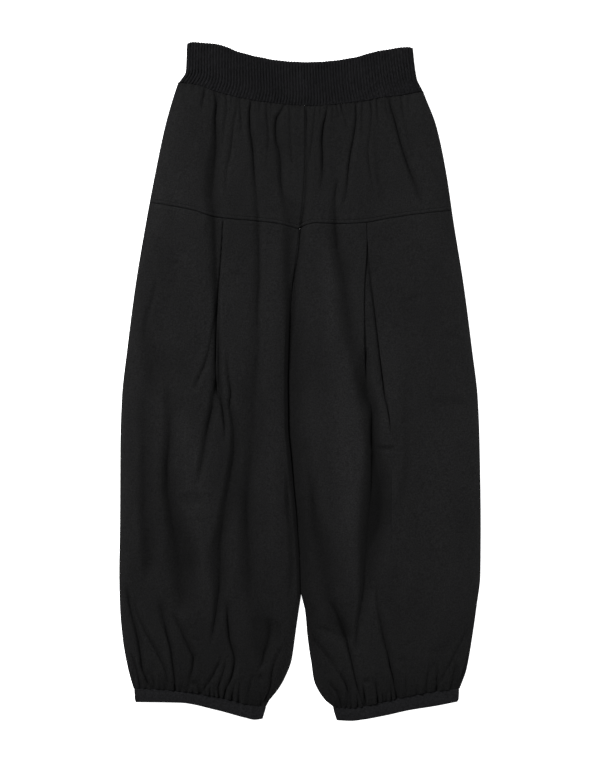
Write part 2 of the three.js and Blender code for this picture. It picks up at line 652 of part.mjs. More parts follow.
// A band: its rings joined outside and inside, and its two rims
function bandSolid(band) {
  const rings = band.ends.map((end) => bandRing(band, end));
  const outsideCount = rings[0].outside.length;
  const insideCount = rings[0].inside.length;
  const points = [...rings.flatMap((ring) => ring.outside), ...rings.flatMap((ring) => ring.inside)];
  const outer = (r, k) => r * outsideCount + (k % outsideCount);
  const inner = (r, k) => rings.length * outsideCount + r * insideCount + (k % insideCount);
  const triangles = [];
  const quad = (a, b, c, d) => triangles.push(a, b, c, a, c, d);
  for (let r = 0; r < rings.length - 1; r += 1) {
    for (let k = 0; k < outsideCount; k += 1) {
      quad(outer(r, k), outer(r + 1, k), outer(r + 1, k + 1), outer(r, k + 1));
    }
    for (let k = 0; k < insideCount; k += 1) {
      quad(inner(r, k), inner(r, k + 1), inner(r + 1, k + 1), inner(r + 1, k));
    }
  }
  const last = rings.length - 1;
  for (let k = 0; k < insideCount; k += 1) {
    const first = 3 * k;
    triangles.push(outer(0, first), outer(0, first + 1), inner(0, k));
    triangles.push(outer(0, first + 1), outer(0, first + 2), inner(0, k));
    triangles.push(inner(0, k), outer(0, first + 2), inner(0, k + 1));
    triangles.push(outer(0, first + 2), outer(0, first + 3), inner(0, k + 1));
    triangles.push(outer(last, first + 1), outer(last, first), inner(last, k));
    triangles.push(outer(last, first + 2), outer(last, first + 1), inner(last, k));
    triangles.push(outer(last, first + 2), inner(last, k), inner(last, k + 1));
    triangles.push(outer(last, first + 3), outer(last, first + 2), inner(last, k + 1));
  }
  return solid(points, triangles);
}

const waistband = () =>
  bandSolid({
    ends: waistbandEnds,
    wall: KNIT,
    slot: KNIT_SLOT,
    pointsOnASide: 2 * RIBS_ON_A_SIDE,
    ribHeight: RIB_HEIGHT,
    upper: (x) => across(bandTop, x),
    lower: (x) => across(waistSeam, x) + SEAM_GAP / 2,
  });
const hemBand = (side) =>
  bandSolid({
    ends: hemBandEnds[side],
    wall: HEM_WALL,
    slot: HEM_SLOT,
    pointsOnASide: HEM_POINTS_ON_A_SIDE,
    ribHeight: 0,
    upper: (x) => across(hemSeams[side], x) - SEAM_GAP / 2,
    lower: (x) => across(hemEdges[side], x),
  });
const frontYoke = (side) =>
  wallAround(frontYokeRows.map((share) => yokeRow(side, share, waistGathers, frontHeight)));
const backYoke = (side) =>
  wallAround(backYokeRows.map((share) => yokeRow(side, share, waistGathers.map(mirrored), backHeight)));
const frontLeg = (side) => wallAround(frontLegRows.map((share) => frontLegRow(side, share)));
const backLeg = (side) => wallAround(backLegRows.map((share) => backLegRow(side, share)));

const twill = () => new THREE.MeshStandardMaterial({ color: 0x1e1e1f, roughness: 0.92, metalness: 0 });
const ribKnit = () => new THREE.MeshStandardMaterial({ color: 0x1a1a1c, roughness: 0.95, metalness: 0 });

function piece(name, geometry, material) {
  const mesh = new THREE.Mesh(geometry, material);
  mesh.name = name;
  return mesh;
}

const pants = new THREE.Group();
pants.add(piece("waistband", waistband(), ribKnit()));
for (const side of ["left", "right"]) {
  pants.add(piece(`front_yoke_${side}`, frontYoke(side), twill()));
  pants.add(piece(`back_yoke_${side}`, backYoke(side), twill()));
  pants.add(piece(`front_leg_${side}`, frontLeg(side), twill()));
  pants.add(piece(`back_leg_${side}`, backLeg(side), twill()));
  pants.add(piece(`hem_band_${side}`, hemBand(side), twill()));
}

export default pants;
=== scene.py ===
# Black cotton balloon pants, laid flat on their back, seen from straight above.
#
# Each cut piece is a thin closed shell on its solid's form, with finer folds, rolled edges and seams.
# Tables are in millimetres in the frame's axes: x to the viewer's right, y to the waist, z up.

import bpy
import math
import numpy as np
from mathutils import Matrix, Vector


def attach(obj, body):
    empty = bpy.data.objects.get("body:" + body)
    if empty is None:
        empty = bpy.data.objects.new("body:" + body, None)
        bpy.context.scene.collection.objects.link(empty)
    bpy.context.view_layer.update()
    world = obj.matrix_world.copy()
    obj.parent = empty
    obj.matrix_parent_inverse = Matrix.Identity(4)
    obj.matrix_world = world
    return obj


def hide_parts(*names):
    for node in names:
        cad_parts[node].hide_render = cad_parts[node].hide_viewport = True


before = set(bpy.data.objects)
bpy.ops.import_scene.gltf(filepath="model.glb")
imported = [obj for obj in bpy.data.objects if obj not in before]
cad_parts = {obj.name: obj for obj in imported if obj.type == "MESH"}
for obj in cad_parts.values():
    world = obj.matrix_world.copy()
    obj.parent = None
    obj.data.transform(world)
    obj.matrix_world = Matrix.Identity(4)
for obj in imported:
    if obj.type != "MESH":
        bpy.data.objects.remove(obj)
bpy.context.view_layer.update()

MM = 0.001

# Sizes of the cloth, and the distances of its edges from the seams and outlines
CLOTH = 0.9
KNIT = 2.4
KNIT_SLOT = 0.4
HEM_WALL = 1.8
HEM_SLOT = 0.4
EDGE_ROUND = 0.3
SEAM_INSET = 0.35
YOKE_SEAM_INSET = 0.11
INNER_INSET = 0.24
OUTER_INSET = 0.05
BAND_INSET = 0.05
BACK_SHIFT = 1
FRONT_EDGE_Z = 2.0
BACK_Z = CLOTH / 2
CROTCH_Y = 82

# Distances from a piece's end of its first rows of points
PLAIN_END = (0, 0.4, 1.2, 2.4)
STITCHED_END = (0, 0.4, 0.9, 1.4, 2.2, 3.2, 3.8, 4.2, 4.6, 5, 5.4, 6.2)

# Length that the rows are spread on, the step between them in front and behind, and the points in a row
YOKE_LENGTH, YOKE_STEP, BACK_YOKE_STEP = 180, 2.2, 4
LEG_LENGTH, LEG_STEP, BACK_LEG_STEP = 640, 2.9, 5
YOKE_COLUMNS, BACK_YOKE_COLUMNS = 130, 90
LEG_COLUMNS, BACK_LEG_COLUMNS = {"left": [84, 62], "right": [60, 20, 66]}, [100]

# The rib knit
RIBS_ON_A_SIDE = 78
RIB_HEIGHT = 1.2
POINTS_A_RIB = 8
BAND_ROWS = 30

# The hem bands' points across each side, and the gathers that pucker them
HEM_POINTS = 180
HEM_GATHERS = 17

# Pleats: each bend's length in all, the laps between bends, how far a pleat lifts its neighbourhood and
# how much closer the columns stand beside it
PLEAT_BEND = 1.75
PLEAT_LAP = 12
PLEAT_LEAST_LAP = 1
PLEAT_REACH = 40
BEND_STEPS = 6
CLOSER = 0.4

# How far in the front puffs up from its side, and from both bands with the share that it has there
SIDE_RISE = 15
WAIST_RISE, WAIST_SHARE = 11, 0.2
HEM_RISE, HEM_SHARE = 10, 0.4
JOINED_FROM, JOINED_TO = CROTCH_Y - 10, CROTCH_Y + 90
FREE_FROM = 0.25
LEAST_SHARE, LEAST_PUFF, LEAST_FADE = 0.6, 1.5, 4

# Fine waves of the cloth
LARGE_CRUMPLE = 0.45
SMALL_CRUMPLE = 0.09

# The yoke's seam: its groove, the groove of its stitches and the ridge of its allowance between them
SEAM_DEPTH, SEAM_WIDTH = 1.3, 0.8
STITCH_DEPTH, STITCH_WIDTH, STITCH_RISE = 0.7, 0.6, 4.6
RIDGE_HEIGHT, RIDGE_STARTS, RIDGE_ENDS = 0.6, (0.4, 1.4), (3.6, 5.4)
SEAM_FADE = 0.2

# Puckers beside the waistband and the hem bands: depth, the share of it under the cloth, and reach
WAIST_PUCKERS = (1.6, 0.4, 11)
HEM_PUCKERS = (2.8, 0.55, 13)

# The back's share of the front's folds and waves, and of the room under the front, and its deepest groove
BACK_FOLDS, BACK_WAVES, BACK_ROOM, BACK_MOST = 0.55, 0.25, 0.3, 1.6

# Painted shade and light on the twill's colour: darker for each millimetre of a fold (lighter on ridges), beside
# the right leg's inner edge and near both bands
FOLD_SHADE = 0.085
INNER_SHADE, INNER_REACH = 0.72, 18
WAIST_SHADE, WAIST_REACH = 0.34, 75
HEM_SHADE, HEM_REACH = 0.46, 100

# A fold reaches this much further than its dark place, which lies on its left flank
REACH = 1.35
SHADED_SHARE = 0.5
LIT_REACH = 1.7

# Soft folds are deeper than their table says in the yoke and low on the legs
SOFT = 0.65
YOKE_DEPTH = 1.25
LOW_DEPTH = 1.4

# Threads of the stitches under the yoke, and where each side's row begins and ends
STITCH_PITCH, STITCH_LENGTH = 3.4, 2.7
THREAD_RADIUS, THREAD_SIDES, THREAD_RINGS = 0.24, 6, 7
STITCHED = {"left": (-195, -3), "right": (1, 198)}


def columns(names, rows):
    """A short table as one array for each named column."""
    return {name: np.array(column, float) for name, column in zip(names.split(), zip(*rows))}


SIDES = columns("y left right", [
    (400, -160, 158), (381, -166.5, 164.5), (339, -178.5, 180.5), (275, -192, 194), (211, -204, 203.5),
    (127, -218, 217), (42, -229, 228), (-22, -236, 235.5), (-85, -238, 238), (-190, -238.5, 239.5),
    (-255, -239.5, 239), (-298, -238.5, 234), (-340, -235, 228), (-382, -227.5, 220.5),
    (-407, -220.5, 211.5),
])
LEG_GAP = columns("y middle half", [
    (365, 6, 0.15), (303, 6.5, 0.15), (266, 5, 0.15), (228, 2, 0.15), (200, -1.5, 0.15), (159, -6, 0.15),
    (115, -10.5, 0.15), (82, -13, 0.15), (50, -14.5, 0.15), (0, -16, 0.15), (-60, -15.5, 0.15),
    (-98, -12, 0.15), (-148, -7.5, 0.15), (-198, -3, 0.15), (-242, 0, 0.15), (-278, 1, 0.15),
    (-288, 1.4, 1.6), (-303, 2, 4.5), (-342, 1.2, 9.2), (-369, 1.2, 13.2), (-396, -2, 20.5),
    (-409, -3.2, 27.2), (-422, -4, 37), (-431, -1, 45),
])
INNER_RISE = columns("y left right", [
    (150, 4, 16), (80, 3, 16), (-200, 3.5, 20), (-320, 10, 12),
])
BAND_TOP = columns("x y", [
    (-150, 448), (-143, 450), (-111, 447.5), (-80, 437), (-48, 429), (-24, 425.5), (4, 423.5), (40, 425),
    (72, 430), (103, 438), (143, 443.5), (150, 442),
])
WAIST_SEAM = columns("x y", [
    (-160.5, 397), (-135, 393), (-113, 385), (-77, 375.5), (-42, 370), (-6, 366.5), (17, 365.5), (52, 368),
    (88, 372.5), (112, 377), (131, 379), (162.5, 385.5),
])
YOKE_SEAMS = {
    "left": columns("x y", [
        (-197, 237), (-142, 226.5), (-117, 219), (-89, 214.5), (-57, 212), (-26, 208), (-2, 202),
    ]),
    "right": columns("x y", [
        (-2, 202), (8, 207), (20, 209.5), (55, 208.5), (86, 210), (117, 215.5), (146, 220), (199, 226.5),
    ]),
}
HEM_SEAMS = {
    "left": columns("x y", [
        (-221, -407), (-186, -408), (-150, -411.5), (-100, -420), (-61, -429.5), (-45, -431),
    ]),
    "right": columns("x y", [
        (44, -433), (60, -433), (82, -431), (105, -425.5), (139, -418), (170, -412), (212, -407),
    ]),
}
HEM_EDGES = {
    "left": columns("x y", [
        (-219, -425), (-159, -426), (-111, -435.5), (-72, -446), (-60, -448.5), (-49, -447),
    ]),
    "right": columns("x y", [
        (48, -449), (68, -450), (82, -448.5), (115, -442.5), (144, -436), (181, -430), (211, -424),
    ]),
}
WAISTBAND_ENDS = columns("share left right inset", [
    (0, -149.5, 149.5, 1.6), (0.02, -149.8, 149.8, 0.7), (0.06, -150, 150, 0), (0.7, -151.5, 155, 0),
    (0.95, -158.5, 161.3, 0), (1, -160.5, 162.5, 0.7),
])
HEM_BAND_ENDS = {
    "left": columns("share left right inset", [
        (0, -220, -45, 0.7), (0.08, -219.9, -45.2, 0), (0.8, -219, -48.5, 0), (1, -218, -49.5, 1.1),
    ]),
    "right": columns("share left right inset", [
        (0, 44, 211, 0.7), (0.08, 44.2, 211, 0), (0.8, 47.5, 210.5, 0), (1, 48.5, 209, 1.1),
    ]),
}
CROWNS = columns("y z", [
    (400, 8), (330, 9), (220, 10), (100, 11.5), (-100, 12.5), (-280, 12), (-430, 10),
])

# Folds of the front, each from its top down. First how crisp its bottom is (0 soft, 1 sharp), then its
# places: x, y, depth, and how far it reaches to the left and to the right. One reach is for both sides,
# and a place without it has those of the place before. A ridge has a depth under zero.
FOLDS = [
    # Long valleys of the left side
    (0.5, [(-115, 388, 1.5, 2.5), (-112, 370, 3.5, 4), (-114, 345, 4, 5, 4), (-114, 320, 4.2, 7, 5),
        (-116, 300, 4.6, 10, 5), (-120, 275, 4.6, 13, 6), (-122, 245, 4.6, 12, 7), (-120, 228, 4.8, 12, 8),
        (-118, 205, 5, 13, 6), (-117, 180, 5.2, 12, 6), (-115.5, 150, 4.2, 12, 4),
        (-113.5, 120, 4.2, 10, 3), (-112.5, 90, 5.2, 8, 3), (-112, 60, 5.2, 9, 3), (-112, 25, 5.4, 11, 3),
        (-111.5, 0, 5.2), (-107, -22, 5, 7, 3), (-103, -45, 4.2, 5, 3), (-101, -62, 2.8, 3, 2.5),
        (-100.5, -82, 0)]),
    (0.9, [(-112, 92, 0, 2, 3), (-116.5, 72, 1.2, 2.5, 4), (-120, 50, 1.6), (-124, 33, 2.4, 3, 4),
        (-129.5, 18, 3), (-136, 4, 3), (-139.5, -5, 2.6, 3.5, 4), (-140.5, -14, 0, 3)]),
    (0.4, [(-112, 8, 0, 5), (-116, -15, 4.6, 6), (-119.5, -38, 5.4), (-124, -58, 5, 7, 5),
        (-128, -80, 4.2), (-131, -100, 3.6, 6, 5), (-134, -120, 2.4, 5, 4), (-136, -140, 0)]),
    (0.5, [(-99, 48, 0, 2, 3), (-98, 25, 1.8, 4, 3), (-96, 5, 3), (-93, -16, 4), (-95, -32, 4.2, 4, 5),
        (-92, -50, 4.8, 4.5, 7), (-90, -68, 5, 4.5, 8), (-90.5, -90, 5, 5, 8), (-94, -115, 5, 6, 9),
        (-98, -140, 4.4, 7, 11), (-102, -162, 4.2, 8, 12), (-106, -185, 4.4, 9, 10),
        (-110, -205, 4.8, 12, 8), (-114, -225, 4.8, 17, 7), (-113, -250, 4.8, 15, 8),
        (-111, -275, 4.4, 9, 8), (-112.5, -300, 3.4, 5, 7), (-116, -325, 2.4, 4, 5), (-121, -352, 0, 4)]),
    (0.2, [(-179, 0, 0, 8), (-177, -30, 3, 9, 8), (-176, -60, 4.4, 9, 6), (-177, -85, 4.8),
        (-179, -110, 5), (-179.5, -140, 5, 9), (-176, -165, 4.4), (-173, -190, 5, 11, 12),
        (-170, -215, 5.4, 16), (-168, -240, 5.4, 20, 18), (-166, -262, 4.6, 18, 15),
        (-162, -285, 3.6, 14, 12), (-160, -312, 0, 12, 10)]),
    (0.1, [(-210, -10, 0, 10), (-210, -45, 2.8, 10, 9), (-209, -95, 3, 9, 8), (-209, -130, 2.8),
        (-210, -165, 3, 10, 8), (-208, -200, 3.4, 11, 9), (-206, -235, 3.4, 12, 9), (-206, -268, 0, 10, 9)]),
    (0.3, [(-192, 138, 0, 3), (-195, 120, 1.4, 5, 3), (-200, 102, 1.6, 6, 3), (-206, 80, 1.8, 6, 5),
        (-208, 58, 2.2, 8), (-204, 30, 2.6, 14, 12), (-202, 0, 2.4, 14), (-202, -30, 0, 12)]),
    (0.6, [(-66, 374, 2, 2.5), (-68, 355, 3, 3), (-68, 338, 3.4, 4, 3.5), (-65.5, 318, 3.6, 4.5, 3.5),
        (-63.5, 298, 3.4, 5, 3), (-62.5, 280, 3), (-61, 255, 2.4, 6, 3.5), (-59, 235, 2.4, 6, 4),
        (-58.5, 200, 3.6, 8, 3.5), (-58, 165, 4, 10, 3), (-58.5, 130, 4, 11, 3), (-60, 95, 3.8, 10, 3),
        (-61.5, 60, 3.4, 13, 4), (-64, 25, 3.8, 16, 5), (-69, -10, 4, 18, 7), (-71, -50, 4),
        (-71, -90, 3.6, 15, 8), (-75, -130, 4.2, 14, 8), (-77, -170, 4.8, 15, 9), (-76, -210, 4.6),
        (-74, -255, 4, 14, 8), (-68, -300, 2.4, 10, 12), (-62, -330, 3, 14, 20), (-57, -355, 2.6, 14, 10),
        (-53, -378, 0, 8, 5)]),
    (0.5, [(-22, 367, 2, 2), (-26, 359, 2.4, 3), (-32.5, 348, 3, 3.5, 4), (-34, 333, 3.2, 3.5, 5),
        (-33, 318, 3.2, 4, 5), (-29.5, 303, 3.4, 6, 4), (-28, 285, 3.4), (-27, 265, 3.2, 5, 4),
        (-24.5, 246, 2.8, 5), (-21, 228, 3.2, 9, 12), (-19, 205, 3.8, 11, 10), (-19, 175, 4.4, 11, 6),
        (-18.5, 145, 4, 9, 6), (-18, 115, 3.6, 8, 6), (-18, 80, 2.6, 6), (-19, 40, 1.5, 5), (-20, 0, 0)]),
    (0.1, [(-8, 238, 0, 16, 12), (-11, 185, 2.4), (-16, 130, 2, 14, 8), (-18, 80, 0, 12, 6)]),
    (0.2, [(-20, -110, 0, 4), (-19, -135, 2), (-18.5, -160, 3.4, 5, 4), (-14, -200, 2.4, 6, 5),
        (-13, -250, 2.4, 7, 5), (-16, -300, 0, 6, 5)]),
    # Grooves beside the pleats' edges on which the right cloth lies on top
    (0.9, [(-102, 216, 0, 2, 0.5), (-102.3, 209, 2.4), (-103.8, 182, 3), (-106.8, 142, 3.2),
        (-109.3, 110, 1.4), (-111, 78, 1), (-111.6, 40, 2), (-111.6, 5, 2), (-109.6, -22, 0)]),
    (0.8, [(89.5, 165, 0, 2, 0.8), (93, 135, 1), (98, 97, 2), (104, 44, 1.9), (111.5, -14, 2.8, 2.5, 0.9),
        (116.5, -42, 2.8), (120, -72, 0, 2.5, 1)]),
    # The seam down the middle
    (0.8, [(7, 366, 2.4, 2.5), (7.5, 345, 3, 3), (7, 320, 2.2), (7.2, 295, 2.2, 3.5, 4),
        (6.5, 270, 2.4, 4), (5, 245, 2.6, 4.5), (2.5, 222, 2.8, 3.5, 5), (-0.5, 200, 3.2, 3, 5),
        (-3, 172, 3), (-7, 145, 3.4), (-10, 112, 3, 4, 6), (-13, 82, 2), (-14.5, 50, 0)]),
    # Long valleys of the right side
    (0.3, [(49, 272, 0, 3), (46.5, 258, 1.8, 4, 3), (44, 240, 2.4, 5, 3.5), (43, 222, 3.4, 8, 4),
        (43, 205, 4.8, 10, 5), (43.5, 185, 5.8, 13, 5), (46, 165, 5.8, 13, 6), (50, 145, 5.6, 13, 7),
        (53.5, 122, 5.4), (56, 98, 5.8, 14, 7), (59, 75, 5.4), (62.5, 52, 4.6, 13, 7),
        (69, 30, 3.4, 10, 8), (74, 5, 3, 9, 8), (79, -20, 2.6, 9, 7), (82, -45, 0)]),
    (0.3, [(83.5, 45, 0, 6, 3), (81, 25, 4.6, 13, 5), (78.5, 2, 6.2, 17, 6), (82.5, -20, 7.2, 17, 7),
        (89, -45, 9.6, 16, 7), (90, -70, 10.4, 15, 7), (91.5, -95, 10, 13, 9), (91, -120, 9, 15, 13),
        (88.5, -145, 8.4, 20, 18), (87, -170, 9, 22, 18), (85, -195, 8.6, 19, 17),
        (82.5, -220, 6.8, 15, 16), (81.5, -245, 5, 9, 14), (81, -270, 4.4, 6, 12), (78.5, -295, 3.4, 5, 9),
        (75, -320, 2.6, 5, 6), (73, -342, 2.2, 4), (72, -362, 0)]),
    (0.2, [(141, 10, 0, 5), (138.5, -20, 0.8, 6), (137.5, -55, 1.1, 5, 6), (139, -85, 1.4, 5),
        (139, -108, 1.5, 6, 5), (135.5, -128, 1.4, 7, 6), (132, -150, 1.2, 8, 7), (127, -170, 0.8, 9, 8),
        (121, -192, 0)]),
    (0.1, [(2, -70, 0, 6), (5, -92, 1.6, 7), (9, -115, 1.4, 6), (12, -140, 2.4, 8, 6),
        (15, -165, 3, 10, 6), (17, -190, 3.4, 13, 8), (21, -215, 3.6, 16, 10), (25, -240, 3.4, 18, 10),
        (27, -262, 3.2, 18, 9), (31, -285, 3.2, 18, 8), (38, -305, 3.2, 16, 10), (42, -322, 3.4, 20, 10),
        (48, -335, 3, 24, 8), (55, -345, 0, 16, 6)]),
    # Puffed ridges
    (0, [(-158, -30, 0, 14, 20), (-155, -80, -1.4), (-150, -130, -1.4, 16, 22), (-143, -180, -1.6, 18, 20),
        (-133, -230, -2, 14), (-131, -280, -1.8, 12), (-129, -330, 0, 10)]),
    (0, [(33, 200, 0, 12, 8), (34, 120, -2, 14), (40, 40, -2.4, 20, 18), (50, -60, -2.8, 26, 22),
        (56, -160, -2.8, 24, 18), (60, -240, -2, 20, 12), (64, -310, 0, 14, 8)]),
    (0, [(-42, 200, 0, 10), (-42, 120, -1, 10, 8), (-42, 20, -1, 12, 8), (-42, -100, -1.2, 14, 8),
        (-38, -200, -1, 12, 8), (-38, -260, 0, 10)]),
    # Gathers under the waistband, from left to right
    (0.9, [(-141, 392, 1, 2), (-143, 378, 0)]),
    (0.9, [(-127, 393, 1.5, 2), (-129, 378, 2.6, 3), (-131, 364, 1.8), (-131.5, 354, 0, 2)]),
    (0.9, [(-109, 384, 1.6, 2), (-106, 374, 1), (-104, 362, 0)]),
    (0.9, [(-98, 384, 1.5, 2), (-98, 362, 1.8, 2.2), (-101, 340, 1.4, 2.5, 2), (-103.5, 315, 1),
        (-104.5, 295, 0, 2)]),
    (0.9, [(-91, 380, 1, 1.8), (-93, 362, 1), (-95, 350, 0, 2)]),
    (0.9, [(-84, 377, 1.2, 2), (-86, 356, 1.6, 2.5, 2), (-89.5, 336, 1.8), (-91.5, 315, 2),
        (-94, 298, 2, 3, 2), (-98, 280, 1.6), (-99.5, 262, 1.2), (-100, 240, 0, 2)]),
    (0.9, [(-81, 377, 1.6, 2), (-80, 355, 2, 2.2), (-78.5, 338, 1.6, 2, 2.5), (-77, 318, 0, 3, 4)]),
    (0.9, [(-56, 373, 1.4, 2), (-55, 362, 1), (-55, 348, 0)]),
    (0.8, [(-45, 371, 2.2, 2.2), (-45, 352, 2.4, 2.5), (-43.5, 335, 2), (-43, 318, 1.6), (-45, 298, 1),
        (-46, 275, 0)]),
    (0.9, [(-38, 370, 1.2, 2), (-40, 355, 0.8), (-41, 345, 0)]),
    (0.9, [(-15, 368, 1.4, 2), (-14.5, 345, 1.6), (-13.5, 320, 1.5, 2.2), (-12, 298, 1.3), (-11, 280, 0, 2)]),
    (0.9, [(-10, 368, 1.2, 1.8), (-10.5, 350, 0, 2)]),
    (0.9, [(-2, 367, 1.2, 2), (-3, 350, 0.8), (-3, 335, 0)]),
    (0.9, [(19, 366, 1, 2), (18, 350, 1.6, 2.2), (16, 328, 1.6), (13, 305, 1.5, 2, 2.2), (11, 282, 0, 2)]),
    (0.9, [(27, 366, 1.4, 2), (25.5, 352, 1), (24, 342, 0)]),
    (0.6, [(36, 367, 1.8, 2), (33, 352, 2.4, 2.5), (29.5, 337, 3, 3), (27.5, 318, 3.4, 3.5, 4),
        (28, 298, 3.4), (28, 280, 2.8), (27, 262, 1.6, 4), (28, 242, 0)]),
    (0.9, [(44, 367, 1.4, 2), (42, 352, 1), (41, 340, 0)]),
    (0.9, [(47, 368, 1.6, 2), (50, 354, 1.2), (51, 344, 0)]),
    (0.9, [(53, 368, 1.6, 1.8), (56.5, 354, 1.8, 2), (60, 341, 1.2), (62, 333, 0)]),
    (0.7, [(73, 371, 2.4, 2.2), (73, 352, 3.2, 2.8), (71.5, 336, 3.4, 3), (69, 320, 3.4),
        (66, 304, 3.4, 3, 3.2), (63.5, 286, 3.4, 3, 3.4), (61.5, 266, 3, 3), (59.5, 249, 2.4, 3.5, 3),
        (56, 234, 1.2, 4, 3), (53, 224, 0)]),
    (0.8, [(82, 373, 1.6, 2), (81, 352, 1.8, 2.5), (81, 335, 1.4, 2.5, 3.5), (84, 318, 0, 3, 4)]),
    (0.8, [(92, 374, 1.8, 2), (94, 358, 2, 2.2), (93, 344, 1.8), (91, 325, 1.8, 2.5), (89, 308, 1.8),
        (89.5, 292, 2), (91.5, 277, 2), (94.5, 262, 1.4), (97, 246, 0, 3)]),
    (0.8, [(101, 377, 2, 2), (101, 356, 2, 2.2), (102.5, 340, 1, 2.5), (104, 326, 0, 2)]),
    (0.1, [(96, 345, 0, 4), (98, 315, 1.2, 5), (100, 280, 1.2), (105, 250, 1.2), (109, 230, 0)]),
    (0.8, [(111, 379, 1, 2), (113, 362, 1.4, 2.5), (117, 350, 0.8), (119, 342, 0, 2)]),
    (0.5, [(116, 381, 2.6, 2.5), (119, 363, 2.8, 3), (123, 350, 3), (127.5, 333, 3, 3.5, 3),
        (132, 315, 3.2, 4, 3.2), (137, 298, 3.4, 4.5, 3.2), (143, 280, 3.4, 5, 3.5), (149, 263, 3, 6, 4),
        (155, 247, 2.4), (159, 235, 1.4), (163, 222, 0)]),
    (0.9, [(125, 383, 1.4, 2), (125, 372, 0)]),
    (0.9, [(132, 381, 2.2, 2), (134, 366, 1.8), (137, 348, 1.4), (140, 330, 1.2, 2.5), (143.5, 314, 1.2),
        (149, 300, 0, 3)]),
    (0.9, [(141, 383, 1.2, 2), (143, 366, 1), (145, 350, 0)]),
    (0.9, [(150, 385, 0.8, 2), (153, 370, 0)]),
    # Gathers over the left hem band
    (0.6, [(-231, -268, 0, 3), (-228, -288, 2.2, 4, 3.5), (-224, -308, 2.4), (-219, -328, 2.8, 5, 4),
        (-215, -347, 3), (-212, -364, 3, 4, 3.5), (-210, -380, 2.8, 3.5, 3), (-205, -393, 2.4, 3),
        (-198, -407, 2.6)]),
    (0.85, [(-222, -284, 0, 3), (-217, -304, 2.2), (-210, -322, 2.8, 3.5, 3), (-202, -338, 3.2),
        (-193, -354, 3.4), (-186, -367, 3.4), (-180, -380, 3.2, 3), (-177, -393, 2.8),
        (-177, -408, 2.2, 2.5)]),
    (0.9, [(-227, -356, 0, 2), (-222, -366, 1.6, 2.5), (-217, -382, 2), (-214, -398, 1.8),
        (-212, -408, 1.4, 2)]),
    (0.9, [(-203, -378, 0, 2), (-199, -390, 1.8, 2.5), (-192, -402, 1.8), (-189, -409, 1.4, 2)]),
    (0.6, [(-190, -285, 0, 6), (-186, -305, 2.6, 6, 5), (-181, -322, 3, 5, 4), (-176, -339, 3.6, 4, 3.5),
        (-172, -354, 3.6), (-170, -372, 3.2, 3.5, 3), (-168, -388, 2.6, 3), (-166, -408, 2)]),
    (0.9, [(-183, -388, 0, 2), (-182, -398, 1.4), (-181, -409, 1.2)]),
    (0.7, [(-170, -305, 0, 3), (-165, -318, 2.6, 4, 3.5), (-158, -331, 3.4, 4.5, 4), (-153, -344, 4),
        (-147, -356, 4.6, 4), (-142.5, -366, 4.4, 4, 3.5), (-143.5, -378, 3.4, 3), (-147, -392, 2.8),
        (-150, -410, 2.4, 2.5)]),
    (0.9, [(-158, -385, 0, 2), (-157, -398, 1.6), (-158, -410, 1.4)]),
    (0.9, [(-139, -392, 0, 3), (-138, -402, 2.4, 4, 3), (-135, -414, 2, 2.5)]),
    (0.85, [(-104, -362, 0, 2.5), (-110, -376, 2.2, 3, 2.5), (-116, -388, 2.6), (-123, -399, 2.6),
        (-130, -409, 2.4, 2.5), (-132, -417, 2)]),
    (0.9, [(-120, -400, 0, 2), (-121, -412, 1.6), (-121, -419, 1.4)]),
    (0.6, [(-100, -285, 0, 5), (-98, -305, 2.8, 5, 4), (-96.5, -325, 3.4, 4.5, 3.5), (-94.5, -342, 3.4),
        (-90.5, -356, 3.4, 5, 3.5), (-88, -368, 3.2, 4.5, 3.5), (-90, -384, 2.8, 3.5, 3),
        (-95, -398, 2.4, 3), (-100, -409, 2), (-103, -421, 1.8, 2.5)]),
    (0.85, [(-98, -362, 0, 2), (-101, -378, 1.8, 2.5), (-105.5, -394, 2.4, 3, 2.5), (-110, -406, 2.4),
        (-109, -420, 2, 2)]),
    (0.9, [(-82, -388, 0, 2), (-88, -402, 1.4), (-91, -424, 1.6)]),
    (0.9, [(-76, -388, 0, 2), (-81, -402, 1.3), (-84, -426, 1.4)]),
    (0.85, [(-58, -382, 0, 2.5), (-65, -393, 1.8), (-69, -407, 2), (-70.5, -428, 1.8)]),
    (0.9, [(-63, -410, 0, 2), (-63, -430, 1.4)]),
    (0.6, [(-44, -310, 0, 6, 3), (-42.5, -325, 2, 9, 2.5), (-44.5, -343, 2.4), (-48.5, -360, 2.4, 6, 3),
        (-53, -376, 2, 4, 3), (-60, -386, 0, 3)]),
    (0.8, [(-22, -345, 0, 3), (-30, -360, 1.8), (-36, -374, 2.6), (-39, -388, 3), (-41, -402, 3),
        (-45, -414, 2.8), (-51, -425, 2.4), (-54, -432, 2, 2.5)]),
    (0.9, [(-57, -415, 0, 2), (-57, -431, 1.4)]),
    # Gathers over the right hem band
    (0.8, [(15, -330, 0, 3), (19, -343, 2, 3, 4), (26, -353, 2.6, 4), (33, -362, 2.8), (40, -372, 2.4),
        (47, -382, 1.8, 3), (55, -394, 1.6), (62, -407, 1.8), (66, -422, 1.6), (67, -433, 1.5)]),
    (0.85, [(36, -396, 0, 3), (41, -404, 2.4, 3, 4), (48, -413, 3, 4, 3.5), (52, -423, 2.6, 3),
        (55, -434, 2)]),
    (0.85, [(51, -383, 0, 2), (56, -393, 2, 3, 2.5), (61, -404, 2.2), (62, -418, 2, 2.5),
        (62, -433, 1.5, 2)]),
    (0.7, [(38, -288, 0, 3), (44, -299, 2.4, 4, 3), (50, -311, 3.4, 6, 3), (54.5, -326, 4.4, 10, 3),
        (58, -340, 5, 11, 3), (62.5, -354, 5, 5, 3), (66.5, -369, 4.4, 4, 3), (70, -385, 4, 3.5, 3),
        (74, -402, 3.6, 3), (79, -418, 3), (82, -432, 2.4)]),
    (0.9, [(74, -412, 0, 2), (75, -422, 1.6), (76, -432, 1.6)]),
